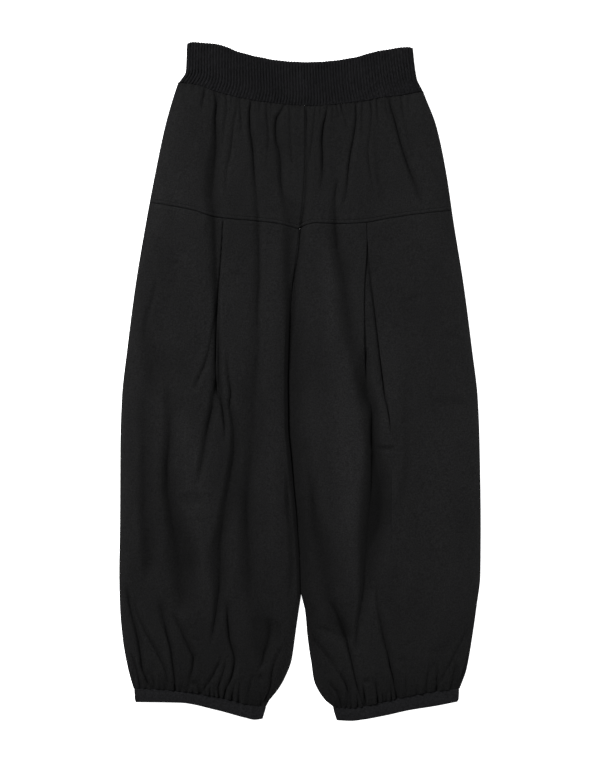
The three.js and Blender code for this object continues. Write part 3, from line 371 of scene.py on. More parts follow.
    (0.85, [(79, -398, 0, 2), (83, -407, 2.6, 3, 2), (85, -417, 3), (88, -430, 2.4)]),
    (0.8, [(97, -393, 0, 4, 3), (98, -402, 2.6, 5, 2.5), (100, -412, 2.8, 4, 2.5), (102, -428, 2, 3, 2)]),
    (0.9, [(107, -408, 0, 2), (108, -417, 1.8, 2.2), (109, -427, 1.6)]),
    (0.9, [(118, -392, 0, 2), (119, -404, 1.6), (119.5, -424, 1.6)]),
    (0.75, [(100.5, -268, 0, 3), (100, -285, 2.4, 3, 4), (102, -305, 2.8, 2.5, 4),
        (105.5, -325, 3.8, 5, 4), (110, -345, 4.4), (115, -362, 4.4, 4), (118, -378, 4.6, 3.5, 4),
        (122, -393, 4.4, 3, 4), (124, -408, 4, 3, 3.5), (126, -422, 3, 3)]),
    (0.9, [(130, -380, 0, 2.5), (130.5, -395, 1.2), (131, -420, 1.6, 2)]),
    (0.9, [(138, -385, 0, 2), (139, -400, 1.6), (140, -418, 1.6)]),
    (0.9, [(150, -400, 0, 2), (151, -416, 1.4)]),
    (0.85, [(174, -368, 0, 2.5), (170, -380, 1.8, 3, 2.5), (166, -395, 2.4), (165, -413, 2, 2.5)]),
    (0.85, [(177, -370, 0, 2.5), (180, -384, 2), (179, -398, 2.2), (178, -412, 1.8)]),
    (0.9, [(219, -318, 0, 2), (215, -337, 1.8, 2.5), (208, -352, 2, 3, 2.5), (201, -366, 2.2),
        (194, -380, 2.2), (186, -393, 2), (180, -410, 1.4, 2.5)]),
    (0.7, [(204, -372, 0, 3), (202, -385, 2.4, 4, 3.5), (200, -397, 3, 4, 3), (198, -410, 2.4, 3)]),
    (0.8, [(225, -340, 0, 2), (221, -362, 2, 3, 2), (217, -378, 2.6, 3, 2.2), (212, -392, 3, 3, 2.5),
        (205, -408, 2.6)]),
]

# Dents that run across the cloth: x, y, half length, half width, turn in degrees and depth
DENTS = [
    (114, -89, 15, 5, 0, 3.2), (88, -397, 9, 5, 0, 2.4), (-141, -400, 7, 5, 0, 2.2),
    (-52, -392, 6, 8, 0, 2), (96, -275, 7, 4, 0, 1.6), (-138, -341, 8, 3, -15, 1.4),
    (36, -330, 16, 5, -25, 2.2), (148, 108, 28, 6, 20, 1), (157, 178, 16, 6, -55, 1),
    (200, 60, 22, 8, -25, 1.2), (200, -28, 34, 10, -5, 1.4), (142, -348, 14, 4, 30, 1),
    (135, -368, 14, 4, 0, 1), (185, -355, 30, 10, 10, 0.8), (-142, -157, 24, 14, 0, 2),
    (-176, 14, 48, 42, 0, 2.2), (-135, -184, 14, 6, 0, 0.8), (-175, -22, 10, 16, 0, 1),
]

# Edges of the pleats, from the yoke down: x and y, then which side's cloth lies on top
PLEATS = {
    "left": [("right", [(-99.5, 213), (-101, 182), (-104, 142), (-107, 106), (-109, 76), (-109.5, 40),
                        (-109.5, 5), (-107.5, -25)])],
    "right": [
        ("left", [(87, 210), (87.5, 188), (87, 168), (85.5, 148), (84, 126), (83.5, 96), (83.5, 62), (84, 30),
                  (86, 0), (88, -25)]),
        ("right", [(89.5, 211), (90, 190), (92, 168), (94.5, 145), (97, 124), (100, 97), (103, 72),
                   (106.5, 44),
                   (110, 13), (114, -14), (118.5, -40), (121.5, -60), (122.5, -74)]),
    ],
}


def mix(start, end, share):
    return start + (end - start) * share


def near(distance, length):
    return np.exp(-np.maximum(distance, 0) / length)


def rise(distance, length):
    return 1 - near(distance, length)


def smoothstep(start, end, value):
    share = np.clip((value - start) / (end - start), 0, 1)
    return share * share * (3 - 2 * share)


def read(table, source, target, at):
    """Smooth value of one column at another's values, with no overshoot between its rows."""
    x, y = table[source], table[target]
    if x[0] > x[-1]:
        x, y = x[::-1], y[::-1]
    secant = np.diff(y) / np.diff(x)
    before, after = secant[:-1], secant[1:]
    same = before * after > 0
    slope = np.concatenate([secant[:1], np.zeros(len(before)), secant[-1:]])
    slope[1:-1][same] = 2 * before[same] * after[same] / (before + after)[same]
    at = np.clip(at, x[0], x[-1])
    k = np.clip(np.searchsorted(x, at, side="right") - 1, 0, len(x) - 2)
    span = x[k + 1] - x[k]
    t = (at - x[k]) / span
    return (
        y[k] * (1 + 2 * t) * (1 - t) ** 2
        + slope[k] * span * t * (1 - t) ** 2
        + y[k + 1] * t * t * (3 - 2 * t)
        + slope[k + 1] * span * t * t * (t - 1)
    )


def across(table, x):
    return read(table, "x", "y", x)


def outer_edge(side, y):
    return read(SIDES, "y", side, y)


def inner_edge(side, y):
    half = read(LEG_GAP, "y", "half", y)
    return read(LEG_GAP, "y", "middle", y) + (-half if side == "left" else half)


def fold_columns(places):
    """Columns of a fold, with the reaches that its table leaves out."""
    rows = []
    for x, y, depth, *reach in places:
        rows.append((x, y, depth, *(2 * reach or rows[-1][3:])[:2]))
    return columns("x y depth left right", rows)


PLEATS = {side: [(top, columns("x y", line)) for top, line in lines] for side, lines in PLEATS.items()}
FOLDS = [dict(fold_columns(places), crisp=crisp) for crisp, places in FOLDS]


def fold_depth(fold, x, y):
    """Depth of one fold, with a bottom between round and sharp, running out to its left and right."""
    left = read(fold, "y", "left", y)
    off = x - read(fold, "y", "x", y) - SHADED_SHARE * left
    reach = REACH * np.where(off > 0, LIT_REACH * read(fold, "y", "right", y), left)
    share = np.abs(off) / reach
    soft = np.clip(1 - share * share, 0, 1) ** 3
    cusp = np.sqrt(share * share + 0.01) - 0.1
    sharp = np.clip(1 - cusp, 0, 1) ** 2
    more = 1
    if fold["crisp"] < SOFT:
        more = mix(1, YOKE_DEPTH, smoothstep(215, 260, y)) * mix(1, LOW_DEPTH, smoothstep(-60, -170, y))
    return more * read(fold, "y", "depth", y) * mix(soft, sharp, fold["crisp"])


def troughs(x, y):
    """All folds and dents together."""
    depth = np.zeros_like(x)
    for fold in FOLDS:
        near = (y < fold["y"][0] + 12) & (y > fold["y"][-1] - 12)
        near &= (x > fold["x"].min() - 30) & (x < fold["x"].max() + 30)
        if near.any():
            depth[near] += fold_depth(fold, x[near], y[near])
    for middle_x, middle_y, length, width, turn, deep in DENTS:
        cos, sin = math.cos(math.radians(turn)), math.sin(math.radians(turn))
        along = (x - middle_x) * cos + (y - middle_y) * sin
        beside = (y - middle_y) * cos - (x - middle_x) * sin
        share = (along / length) ** 2 + (beside / width) ** 2
        depth += deep * np.clip(1 - share, 0, 1) ** 2
    return depth


def waves(seed, count, shortest, longest, stretch):
    """Directions, lengths and phases of small waves that run mostly down the cloth."""
    rng = np.random.default_rng(seed)
    length = shortest * (longest / shortest) ** rng.random(count)
    lean = rng.normal(0, 0.35, count)
    phase = rng.random(count) * 2 * math.pi
    return list(zip(length, lean, phase, length / longest, np.full(count, stretch)))


def crumple(x, y, parts):
    """A sum of waves, about one high, longer down the cloth than across it."""
    total = np.zeros_like(x)
    for length, lean, phase, weight, stretch in parts:
        total += weight * np.sin(2 * math.pi * (x + lean * y / stretch) / length + phase
                                 + 1.7 * np.sin(2 * math.pi * y / (length * stretch) + 2 * phase))
    return total / math.sqrt(sum(part[3] ** 2 for part in parts) / 2) / 2


LARGE_WAVES = waves(11, 14, 26, 70, 4)
SMALL_WAVES = waves(12, 16, 7, 18, 3)


def puckers(x, phase):
    """Small uneven gathers beside a seam, from 0 to about 1."""
    wave = np.sin(0.83 * x + 1.9 * np.sin(0.11 * x)) + 0.7 * np.sin(0.49 * x + 1.3 * np.sin(0.23 * x) + phase)
    return np.clip(0.5 + 0.35 * wave, 0, 1)


def small_gathers(x, waist, hem):
    """Depth of the puckers beside both bands: their grooves are sunk and their ridges stand up."""
    total = 0
    for phase, distance, (depth, level, reach) in ((0, waist, WAIST_PUCKERS), (2, hem, HEM_PUCKERS)):
        total = total + depth * (puckers(x, phase) - level) * near(distance, reach)
    return total


def front_height(side, x, y):
    """Middle of the front's wall: puffed between its edges, low where it is sewn to a band."""
    sign = 1 if side == "left" else -1
    waist = across(WAIST_SEAM, x) - y
    hem = y - across(HEM_SEAMS[side], x)
    yoke = y - across(YOKE_SEAMS[side], x)
    from_side = rise(sign * (x - outer_edge(side, y)), SIDE_RISE)
    from_inside = rise(sign * (inner_edge(side, y) - x), read(INNER_RISE, "y", side, y))
    joined = smoothstep(JOINED_FROM, JOINED_TO, y)
    from_waist = mix(WAIST_SHARE, 1, rise(waist, WAIST_RISE))
    from_hem = mix(HEM_SHARE, 1, rise(hem, HEM_RISE))
    crown = read(CROWNS, "y", "z", y) - FRONT_EDGE_Z
    puff = crown * from_side * mix(from_inside, 1, joined) * from_waist * from_hem
    free = smoothstep(0, FREE_FROM, from_side * from_hem)
    waviness = LARGE_CRUMPLE * crumple(x, y, LARGE_WAVES) + SMALL_CRUMPLE * crumple(x, y, SMALL_WAVES)
    sunk = puff - free * (troughs(x, y) + small_gathers(x, waist, hem) - waviness)
    groove = SEAM_DEPTH * np.exp(-np.abs(yoke) / SEAM_WIDTH)
    stitched = STITCH_DEPTH * np.exp(-((yoke - STITCH_RISE) / STITCH_WIDTH) ** 2)
    ridge = RIDGE_HEIGHT * smoothstep(*RIDGE_STARTS, yoke) * (1 - smoothstep(*RIDGE_ENDS, yoke))
    sunk = sunk - (groove + stitched - ridge) * smoothstep(0, SEAM_FADE, from_side)
    least = LEAST_SHARE * np.minimum(puff, LEAST_PUFF)
    faded = least * np.exp(np.minimum(sunk - least, 0) / LEAST_FADE)
    return FRONT_EDGE_Z + np.where(sunk > least, sunk, faded)


def back_height(side, x, y):
    """Middle of the back's wall: flat on the surface, with the folds mirrored as low grooves."""
    room = BACK_ROOM * (front_height(side, x, y) - FRONT_EDGE_Z)
    groove = BACK_FOLDS * troughs(-x, y) + BACK_WAVES * np.clip(crumple(-x, y, LARGE_WAVES), 0, 1)
    return BACK_Z + np.clip(groove, 0, np.minimum(np.maximum(room, 0), BACK_MOST))


def meet(edge_at, height_at):
    """Place where an edge or a fold, running down, meets a line that runs across."""
    x = edge_at(height_at(0.0))
    for _ in range(24):
        x = mix(x, edge_at(height_at(x)), 0.7)
    return float(x)


def pleat_steps(pleat, y):
    """Places and lifts of a pleat's points across one row, from left to right."""
    top, line = pleat
    edge = float(read(line, "y", "x", y))
    along = (line["y"][0] - y) / (line["y"][0] - line["y"][-1])
    lap = mix(PLEAT_LAP, PLEAT_LEAST_LAP, smoothstep(0, 0.55, along))
    turn = math.pi * (1 - smoothstep(0.5, 1, along))
    bend = turn * (np.arange(BEND_STEPS) + 0.5) / BEND_STEPS
    lap_steps = 5
    angles = np.concatenate([bend, np.full(lap_steps, turn), bend[::-1]])
    lengths = np.concatenate([
        np.full(BEND_STEPS, PLEAT_BEND / BEND_STEPS),
        np.full(lap_steps, lap / lap_steps),
        np.full(BEND_STEPS, PLEAT_BEND / BEND_STEPS),
    ])
    out = np.concatenate([[0], np.cumsum(lengths * np.cos(angles))])
    down = np.concatenate([[0], np.cumsum(lengths * np.sin(angles))])
    lift = down[-1] / 2 - down
    if top == "left":
        return {"edge": edge, "x": edge + out, "lift": lift}
    return {"edge": edge, "x": (edge - out)[::-1], "lift": lift[::-1]}


def beside_pleat(steps, x, on_left):
    """Raise of the top layer and sinking of the underlay beside a pleat, fading with the distance."""
    near = steps["lift"][0] if on_left else steps["lift"][-1]
    return near * (1 - smoothstep(0, PLEAT_REACH, np.abs(x - steps["edge"]) - PLEAT_LAP - 3))


def crossing(upper, lower, share):
    """The line across a piece at a share of the way down it."""
    return lambda x: mix(upper(x) - SEAM_INSET, lower(x) + SEAM_INSET, share)


def row_ends(side, height_at, shift):
    """Both ends of a row. The back's middle seam is shifted, so that no light comes through both."""
    outer = meet(lambda y: outer_edge(side, y), height_at)
    inner = meet(lambda y: inner_edge(side, y), height_at) + shift
    if side == "left":
        return outer + OUTER_INSET, inner - INNER_INSET
    return inner + INNER_INSET, outer - OUTER_INSET


def closer_at_ends(share):
    """Shares of the way between two edges, closer together at both, where pleats have their grooves."""
    return share - CLOSER * np.sin(2 * math.pi * share) / (2 * math.pi)


def leg_grid(side, shares, counts, height_of, with_pleats, shift):
    """Points of a leg's middle surface, a row for each share of the way from the yoke to the hem."""
    grid = []
    upper = lambda x: across(YOKE_SEAMS[side], x) - shift - YOKE_SEAM_INSET
    lower = lambda x: across(HEM_SEAMS[side], x)
    for share in shares:
        height_at = crossing(upper, lower, share)
        first, last = row_ends(side, height_at, shift)
        folds = []
        if with_pleats:
            for pleat in PLEATS[side]:
                x = meet(lambda y: read(pleat[1], "y", "x", y), height_at)
                folds.append(pleat_steps(pleat, float(height_at(x))))
        x, lift, owner = [], [], []
        start = first
        for k, count in enumerate(counts):
            end = folds[k]["x"][0] if k < len(folds) else last
            places = mix(start, end, closer_at_ends(np.arange(1 if k else 0, count) / count))
            x.append(places)
            lift.append(np.zeros(len(places)))
            owner.append(np.full(len(places), -1))
            if k < len(folds):
                x.append(folds[k]["x"])
                lift.append(folds[k]["lift"])
                owner.append(np.full(len(folds[k]["x"]), k))
                start = folds[k]["x"][-1]
        x = np.append(np.concatenate(x), last)
        lift = np.append(np.concatenate(lift), 0)
        owner = np.append(np.concatenate(owner), -1)
        for k, steps in enumerate(folds):
            place = np.arange(len(x))
            begins = place[owner == k][0]
            on_left = (place < begins) & (owner != k)
            on_right = (place > begins) & (owner != k)
            lift = lift + np.where(on_left, beside_pleat(steps, x, True), 0)
            lift = lift + np.where(on_right, beside_pleat(steps, x, False), 0)
        grid.append((x, height_at(x), lift))
    x, y, lift = np.array(grid).transpose(1, 0, 2)
    return np.stack([x, y, height_of(side, x, y) + lift], -1)


def yoke_grid(side, shares, count, height_of, shift):
    grid = []
    upper = lambda x: across(WAIST_SEAM, x)
    lower = lambda x: across(YOKE_SEAMS[side], x) - shift + YOKE_SEAM_INSET
    for share in shares:
        height_at = crossing(upper, lower, share)
        first, last = row_ends(side, height_at, shift)
        x = np.linspace(first, last, count)
        grid.append((x, height_at(x)))
    x, y = np.array(grid).transpose(1, 0, 2)
    return np.stack([x, y, height_of(side, x, y)], -1)


def rows_down(length, step, at_top=PLAIN_END, at_bottom=PLAIN_END):
    """Shares of the way down a piece, closer together at its ends for the rolled seams and stitches."""
    inner = np.arange(at_top[-1] + step, length - at_bottom[-1] - step / 2, step)
    places = np.concatenate([at_top, inner, length - np.array(at_bottom)])
    return np.unique(np.round(places / length, 6))


def painted_shading_factor(x, y):
    """Factor on the twill's colour that paints shade and light: darker in folds, gathers, beside the right leg's
    inner edge and near both bands, lighter on ridges.
    """
    beside = (x - inner_edge("right", y)) / INNER_REACH
    ends = smoothstep(130, 40, y) * smoothstep(-400, -300, y)
    inner = INNER_SHADE * (beside > -0.3) * np.exp(-beside ** 2) * ends
    waist = across(WAIST_SEAM, x) - y
    hem = y - np.where(x < -3, across(HEM_SEAMS["left"], x), across(HEM_SEAMS["right"], x))
    near_waist = WAIST_SHADE * near(waist, WAIST_REACH) * smoothstep(165, 110, np.abs(x))
    depth = troughs(x, y) + small_gathers(x, waist, hem)
    return np.exp(-FOLD_SHADE * depth - inner - near_waist - HEM_SHADE * near(hem, HEM_REACH))


def mesh_object(name, points, faces, material):
    mesh = bpy.data.meshes.new(name)
    mesh.from_pydata((points * MM).tolist(), [], faces)
    mesh.validate()
    mesh.update()
    mesh.polygons.foreach_set("use_smooth", np.ones(len(mesh.polygons), bool))
    mesh.materials.append(material)
    mirrored = -1 if name.startswith("back") else 1
    # Twill pieces get painted shade and light as a colour layer: darker in folds, gathers, beside the right
    # leg's inner edge and near the bands, lighter on ridges
    tone = painted_shading_factor(mirrored * points[:, 0], points[:, 1]) if material == twill else np.ones(len(points))
    painted_shading = mesh.color_attributes.new(name="painted_shading", type="FLOAT_COLOR", domain="POINT")
    painted_shading.data.foreach_set("color", np.stack([tone, tone, tone, np.ones(len(tone))], 1).ravel())
    piece = bpy.data.objects.new(name, mesh)
    bpy.context.scene.collection.objects.link(piece)
    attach(piece, "root")
    return piece


def unit(vectors):
    return vectors / np.maximum(np.linalg.norm(vectors, axis=-1, keepdims=True), 1e-9)


def shell(grid, thickness):
    """A closed wall around a grid of points, with rounded edges all round."""
    rows, count = grid.shape[:2]
    over = np.gradient(grid, axis=1)
    down = np.gradient(grid, axis=0)
    normal = unit(np.cross(down, over))
    half = thickness / 2
    top = grid + half * normal
    under = grid - half * normal
    border = (
        [(0, k) for k in range(count)]
        + [(r, count - 1) for r in range(1, rows)]
        + [(rows - 1, k) for k in range(count - 2, -1, -1)]
        + [(r, 0) for r in range(rows - 2, 0, -1)]
    )
    at = np.array(border)
    outward = np.zeros((len(at), 3))
    r, k = at[:, 0], at[:, 1]
    outward[r == 0] -= unit(down[0, k[r == 0]])
    outward[r == rows - 1] += unit(down[rows - 1, k[r == rows - 1]])
    outward[k == 0] -= unit(over[r[k == 0], 0])
    outward[k == count - 1] += unit(over[r[k == count - 1], count - 1])
    outward = unit(outward)
    rings = [
        grid[r, k] + EDGE_ROUND * math.cos(angle) * outward + half * math.sin(angle) * normal[r, k]
        for angle in (math.pi / 4, 0, -math.pi / 4)
    ]
    points = np.concatenate([top.reshape(-1, 3), under.reshape(-1, 3)] + rings)
    index = np.arange(rows * count).reshape(rows, count)
    a, b, c, d = index[:-1, :-1], index[1:, :-1], index[1:, 1:], index[:-1, 1:]
    upper = np.stack([a, b, c, d], -1).reshape(-1, 4)
    lower = np.stack([a, d, c, b], -1).reshape(-1, 4) + rows * count
    loops = [index[r, k]]
    for ring in range(3):
        loops.append(2 * rows * count + ring * len(at) + np.arange(len(at)))
    loops.append(index[r, k] + rows * count)
    strips = []
    for one, other in zip(loops[:-1], loops[1:]):
        strips.append(np.stack([one, np.roll(one, -1), np.roll(other, -1), other], -1))
    faces = np.concatenate([upper, lower] + strips)
    return points, faces.tolist()


def band_grid(ends, upper, lower, wall, slot, points_on_a_side, rows, relief):
    """Outer and inner rings of a flattened band, from its upper to its lower edge."""
    middle = wall + slot / 2
    outside, inside = [], []
    for share in rows:
        left, right, inset = (float(read(ends, "share", name, share)) for name in ("left", "right", "inset"))
        flat = np.linspace(left + middle, right - middle, points_on_a_side)
        angle = np.linspace(math.pi / 2, -math.pi / 2, 9)[1:-1]
        half = middle - inset
        x = np.concatenate([
            flat,
            right - middle + middle * np.cos(angle),
            flat[::-1],
            left + middle - middle * np.cos(angle),
        ])
        lean = np.concatenate([
            np.full(len(flat), 1.0),
            np.sin(angle),
            np.full(len(flat), -1.0),
            -np.sin(angle),
        ])
        share_across = (x - left) / (right - left)
        raised, top_bump = relief(share_across, share, lean)
        y = mix(upper(x) + top_bump, lower(x), share)
        outside.append(np.stack([x, y, middle + half * lean + raised * lean], 1))
        narrow = np.clip(x, left + wall, right - wall)
        inside.append(np.stack([narrow, y, middle + slot / 2 * lean], 1))
    return np.array(outside), np.array(inside)


def tube(outside, inside):
    """A closed band from its outer and inner rings."""
    rows, count = outside.shape[:2]
    points = np.concatenate([outside.reshape(-1, 3), inside.reshape(-1, 3)])
    outer = np.arange(rows * count).reshape(rows, count)
    inner = outer + rows * count
    faces = []
    for grid, flip in ((outer, False), (inner, True)):
        a, b = grid[:-1], grid[1:]
        after_a, after_b = np.roll(a, -1, 1), np.roll(b, -1, 1)
        quads = [a, after_a, after_b, b] if flip else [a, b, after_b, after_a]
        faces.append(np.stack(quads, -1).reshape(-1, 4))
    for row, flip in ((0, False), (rows - 1, True)):
        one, other = outer[row], inner[row]
        quads = [one, np.roll(one, -1), np.roll(other, -1), other]
        faces.append(np.stack(quads[::-1] if flip else quads, -1))
    return points, np.concatenate(faces).tolist()


def new_material(name):
    material = bpy.data.materials.new(name)
    material.use_nodes = True
    tree = material.node_tree
    place = tree.nodes.new("ShaderNodeTexCoord").outputs["Object"]
    return material, tree, tree.nodes["Principled BSDF"], place


def connect(tree, node, inputs):
    """A node with its inputs linked to sockets or set to values."""
    for name, value in inputs.items():
        if isinstance(value, bpy.types.NodeSocket):
            tree.links.new(value, node.inputs[name])
        else:
            node.inputs[name].default_value = value
    return node


def noise(tree, place, scale, detail, stretch=(1, 1, 1)):
    """Cloudy noise, stretched along an axis where a factor is under one."""
    mapping = connect(tree, tree.nodes.new("ShaderNodeMapping"), {"Vector": place, "Scale": stretch})
    inputs = {"Vector": mapping.outputs["Vector"], "Scale": scale, "Detail": detail, "Roughness": 0.6}
    return connect(tree, tree.nodes.new("ShaderNodeTexNoise"), inputs).outputs["Fac"]


def bands(tree, place, pitch_mm, angle, distortion):
    """Even fine lines of a pitch, turned by an angle."""
    mapping = connect(tree, tree.nodes.new("ShaderNodeMapping"), {"Vector": place, "Rotation": (0, 0, angle)})
    texture = tree.nodes.new("ShaderNodeTexWave")
    texture.wave_type = "BANDS"
    texture.bands_direction = "X"
    return connect(tree, texture, {
        "Vector": mapping.outputs["Vector"],
        "Scale": 2 * math.pi / 20 / (pitch_mm * MM),
        "Distortion": distortion,
        "Detail": 1,
        "Detail Scale": 1.5,
    }).outputs["Fac"]


def blend_colours(tree, factor, low, high, darker, lighter):
    ramp = connect(tree, tree.nodes.new("ShaderNodeValToRGB"), {"Fac": factor})
    for stop, position, colour in zip(ramp.color_ramp.elements, (low, high), (darker, lighter)):
        stop.position = position
        stop.color = (*colour, 1)
    return ramp.outputs["Color"]


def multiply_colours(tree, one, other):
    product = tree.nodes.new("ShaderNodeMix")
    product.data_type = "RGBA"
    product.blend_type = "MULTIPLY"
    return connect(tree, product, {"Factor": 1, "A": one, "B": other}).outputs["Result"]


def bump(tree, height, depth_mm, strength, before=None):
    inputs = {"Height": height, "Strength": strength, "Distance": depth_mm * MM}
    if before is not None:
        inputs["Normal"] = before
    return connect(tree, tree.nodes.new("ShaderNodeBump"), inputs).outputs["Normal"]


def set_matt(shader, roughness, specular, sheen, sheen_roughness):
    shader.inputs["Roughness"].default_value = roughness
    shader.inputs["Specular IOR Level"].default_value = specular
    shader.inputs["Sheen Weight"].default_value = sheen
    shader.inputs["Sheen Roughness"].default_value = sheen_roughness


TWILL_TONES = ((0.0057, 0.0057, 0.0059), (0.0081, 0.0081, 0.0083))
HEM_TONES = ((0.0058, 0.0058, 0.0064), (0.0074, 0.0074, 0.0082))
KNIT_TONES = ((0.0042, 0.0042, 0.0047), (0.0066, 0.0065, 0.0072))
THREAD_TONES = ((0.006, 0.006, 0.0062), (0.0105, 0.0105, 0.0108))
GRAIN_TONES = ((0.42, 0.42, 0.42), (1.64, 1.64, 1.64))


def twill_material(name, tones):
    """Dry black twill: fine diagonal lines, uneven yarns, a speckle of fibres and slow changes of tone."""
    material, tree, shader, place = new_material(name)
    clouds = noise(tree, place, 14, 4, (1, 0.5, 1))
    speckle = noise(tree, place, 600, 5)
    # Painted shade and light: the mesh's colour layer darkens folds, gathers and the places near the bands, and
    # lightens ridges
    painted_shading = tree.nodes.new("ShaderNodeAttribute")
    painted_shading.attribute_name = "painted_shading"
    tone = blend_colours(tree, clouds, 0.3, 0.7, *tones)
    colour = multiply_colours(tree, tone, blend_colours(tree, speckle, 0.32, 0.68, *GRAIN_TONES))
    colour = multiply_colours(tree, colour, painted_shading.outputs["Color"])
    diagonal = bands(tree, place, 0.75, math.radians(-62), 1.2)
    yarns = noise(tree, place, 1100, 2, (1, 0.25, 1))
    fibres = noise(tree, place, 420, 3)
    normal = bump(tree, diagonal, 0.08, 0.5)
    normal = bump(tree, yarns, 0.08, 0.45, normal)
    normal = bump(tree, fibres, 0.12, 0.35, normal)
    connect(tree, shader, {"Base Color": colour, "Normal": normal})
    set_matt(shader, 0.85, 0.08, 0.006, 0.45)
    return material


def knit_material(name, tones):
    """Rib knit: rows of small stitches across the ribs, with fuzz and a slightly cooler black."""
    material, tree, shader, place = new_material(name)
    clouds = noise(tree, place, 30, 4, (1, 0.4, 1))
    speckle = noise(tree, place, 700, 3, (1, 0.5, 1))
    tone = blend_colours(tree, clouds, 0.3, 0.7, *tones)
    colour = multiply_colours(tree, tone, blend_colours(tree, speckle, 0.32, 0.68, *GRAIN_TONES))
    stitches = bands(tree, place, 1.1, math.radians(90), 3)
    fuzz = noise(tree, place, 600, 3)
    normal = bump(tree, fuzz, 0.15, 0.5, bump(tree, stitches, 0.15, 0.5))
    connect(tree, shader, {"Base Color": colour, "Normal": normal})
    set_matt(shader, 0.9, 0.06, 0.006, 0.5)
    return material


def thread_material(name, tones):
    material, tree, shader, place = new_material(name)
    twist = bands(tree, place, 0.5, math.radians(35), 0.5)
    colour = blend_colours(tree, twist, 0.2, 0.8, *tones)
    connect(tree, shader, {"Base Color": colour, "Normal": bump(tree, twist, 0.05, 0.5)})
    set_matt(shader, 0.7, 0.12, 0.006, 0.4)
    return material


def stitch_row(first, last, surface):
    """Short bent threads along a line on the cloth, each one going into it at both ends."""
    angle = 2 * math.pi * np.arange(THREAD_SIDES)[:, None] / THREAD_SIDES
    count = THREAD_RINGS * THREAD_SIDES
    points, faces = [], []
    x = first
    while x + STITCH_LENGTH < last:
        centre_x = np.linspace(x, x + STITCH_LENGTH, THREAD_RINGS)
        y, z = surface(centre_x)
        t = np.linspace(0, 1, THREAD_RINGS)
        z = z + THREAD_RADIUS * (0.9 - 3.2 * (2 * t - 1) ** 4)
        line = np.stack([centre_x, y, z], 1)
        along = unit(np.gradient(line, axis=0))
        sideways = unit(np.cross(along, [0.0, 0.0, 1.0]))
        upward = np.cross(sideways, along)
        round_it = np.cos(angle) * sideways[:, None] + np.sin(angle) * upward[:, None]
        index = count * len(points) + np.arange(count).reshape(THREAD_RINGS, THREAD_SIDES)
        after = np.roll(index, -1, 1)
        points.append((line[:, None] + THREAD_RADIUS * round_it).reshape(-1, 3))
        faces += np.stack([index[:-1], after[:-1], after[1:], index[1:]], -1).reshape(-1, 4).tolist()
        faces += [index[0, ::-1].tolist(), index[-1].tolist()]
        x += STITCH_PITCH
    return np.concatenate(points), faces


twill = twill_material("twill_cloth", TWILL_TONES)
hem_twill = twill_material("hem_cloth", HEM_TONES)
knit = knit_material("rib_knit_cloth", KNIT_TONES)
thread = thread_material("thread_cotton", THREAD_TONES)


def rib_relief(share_across, share, lean):
    """Rounded ribs and the bumps that they make along the folded upper edge."""
    phase = share_across * RIBS_ON_A_SIDE * 2 * math.pi
    wander = 0.5 * np.sin(9 * share_across + 2.2 * share) + 0.35 * np.sin(23 * share_across - 4 * share)
    rib = 0.5 + 0.5 * np.cos(phase + wander)
    flat = np.abs(lean) ** 4
    uneven = 1 + 0.25 * np.sin(31 * share_across + 9 * share) * np.sin(17 * share + 40 * share_across)
    fade = smoothstep(0, 0.05, share) * (1 - 0.6 * smoothstep(0.94, 1, share))
    slow = 0.35 * np.sin(14 * share_across + 3 * share) + 0.25 * np.sin(27 * share_across - 5 * share)
    raised = flat * (RIB_HEIGHT * (rib - 1) * uneven * (0.35 + 0.65 * fade) + 0.4 * slow * (lean > 0))
    top_bump = 0.5 * (rib - 0.5) + 0.3 * np.sin(61 * share_across) * np.sin(23 * share_across)
    return raised, top_bump


def hem_relief(gathers):
    """Slight puckers of a hem band under the gathers, and the dents of its two rows of stitches."""
    def relief(share_across, share, lean):
        pucker = 0.28 * np.sin(gathers * 2 * math.pi * share_across + 1.3 * np.sin(11 * share_across))
        pucker = pucker + 0.12 * np.sin(2.3 * gathers * 2 * math.pi * share_across)
        rows_of_stitches = np.exp(-((share - 0.16) / 0.06) ** 2) + np.exp(-((share - 0.8) / 0.06) ** 2)
        flat = np.abs(lean) ** 4 * (lean > 0)
        return flat * (pucker * (1 - 0.6 * share) - 0.25 * rows_of_stitches), np.zeros_like(share_across)
    return relief


rows = np.concatenate([[0, 0.012, 0.03, 0.06], np.linspace(0.1, 0.92, BAND_ROWS - 8), [0.95, 0.975, 0.99, 1]])
points, faces = tube(*band_grid(
    WAISTBAND_ENDS, lambda x: across(BAND_TOP, x), lambda x: across(WAIST_SEAM, x) + BAND_INSET,
    KNIT, KNIT_SLOT, RIBS_ON_A_SIDE * POINTS_A_RIB, rows, rib_relief))
waistband = mesh_object("rib_waistband", points, faces, knit)
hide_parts("waistband")

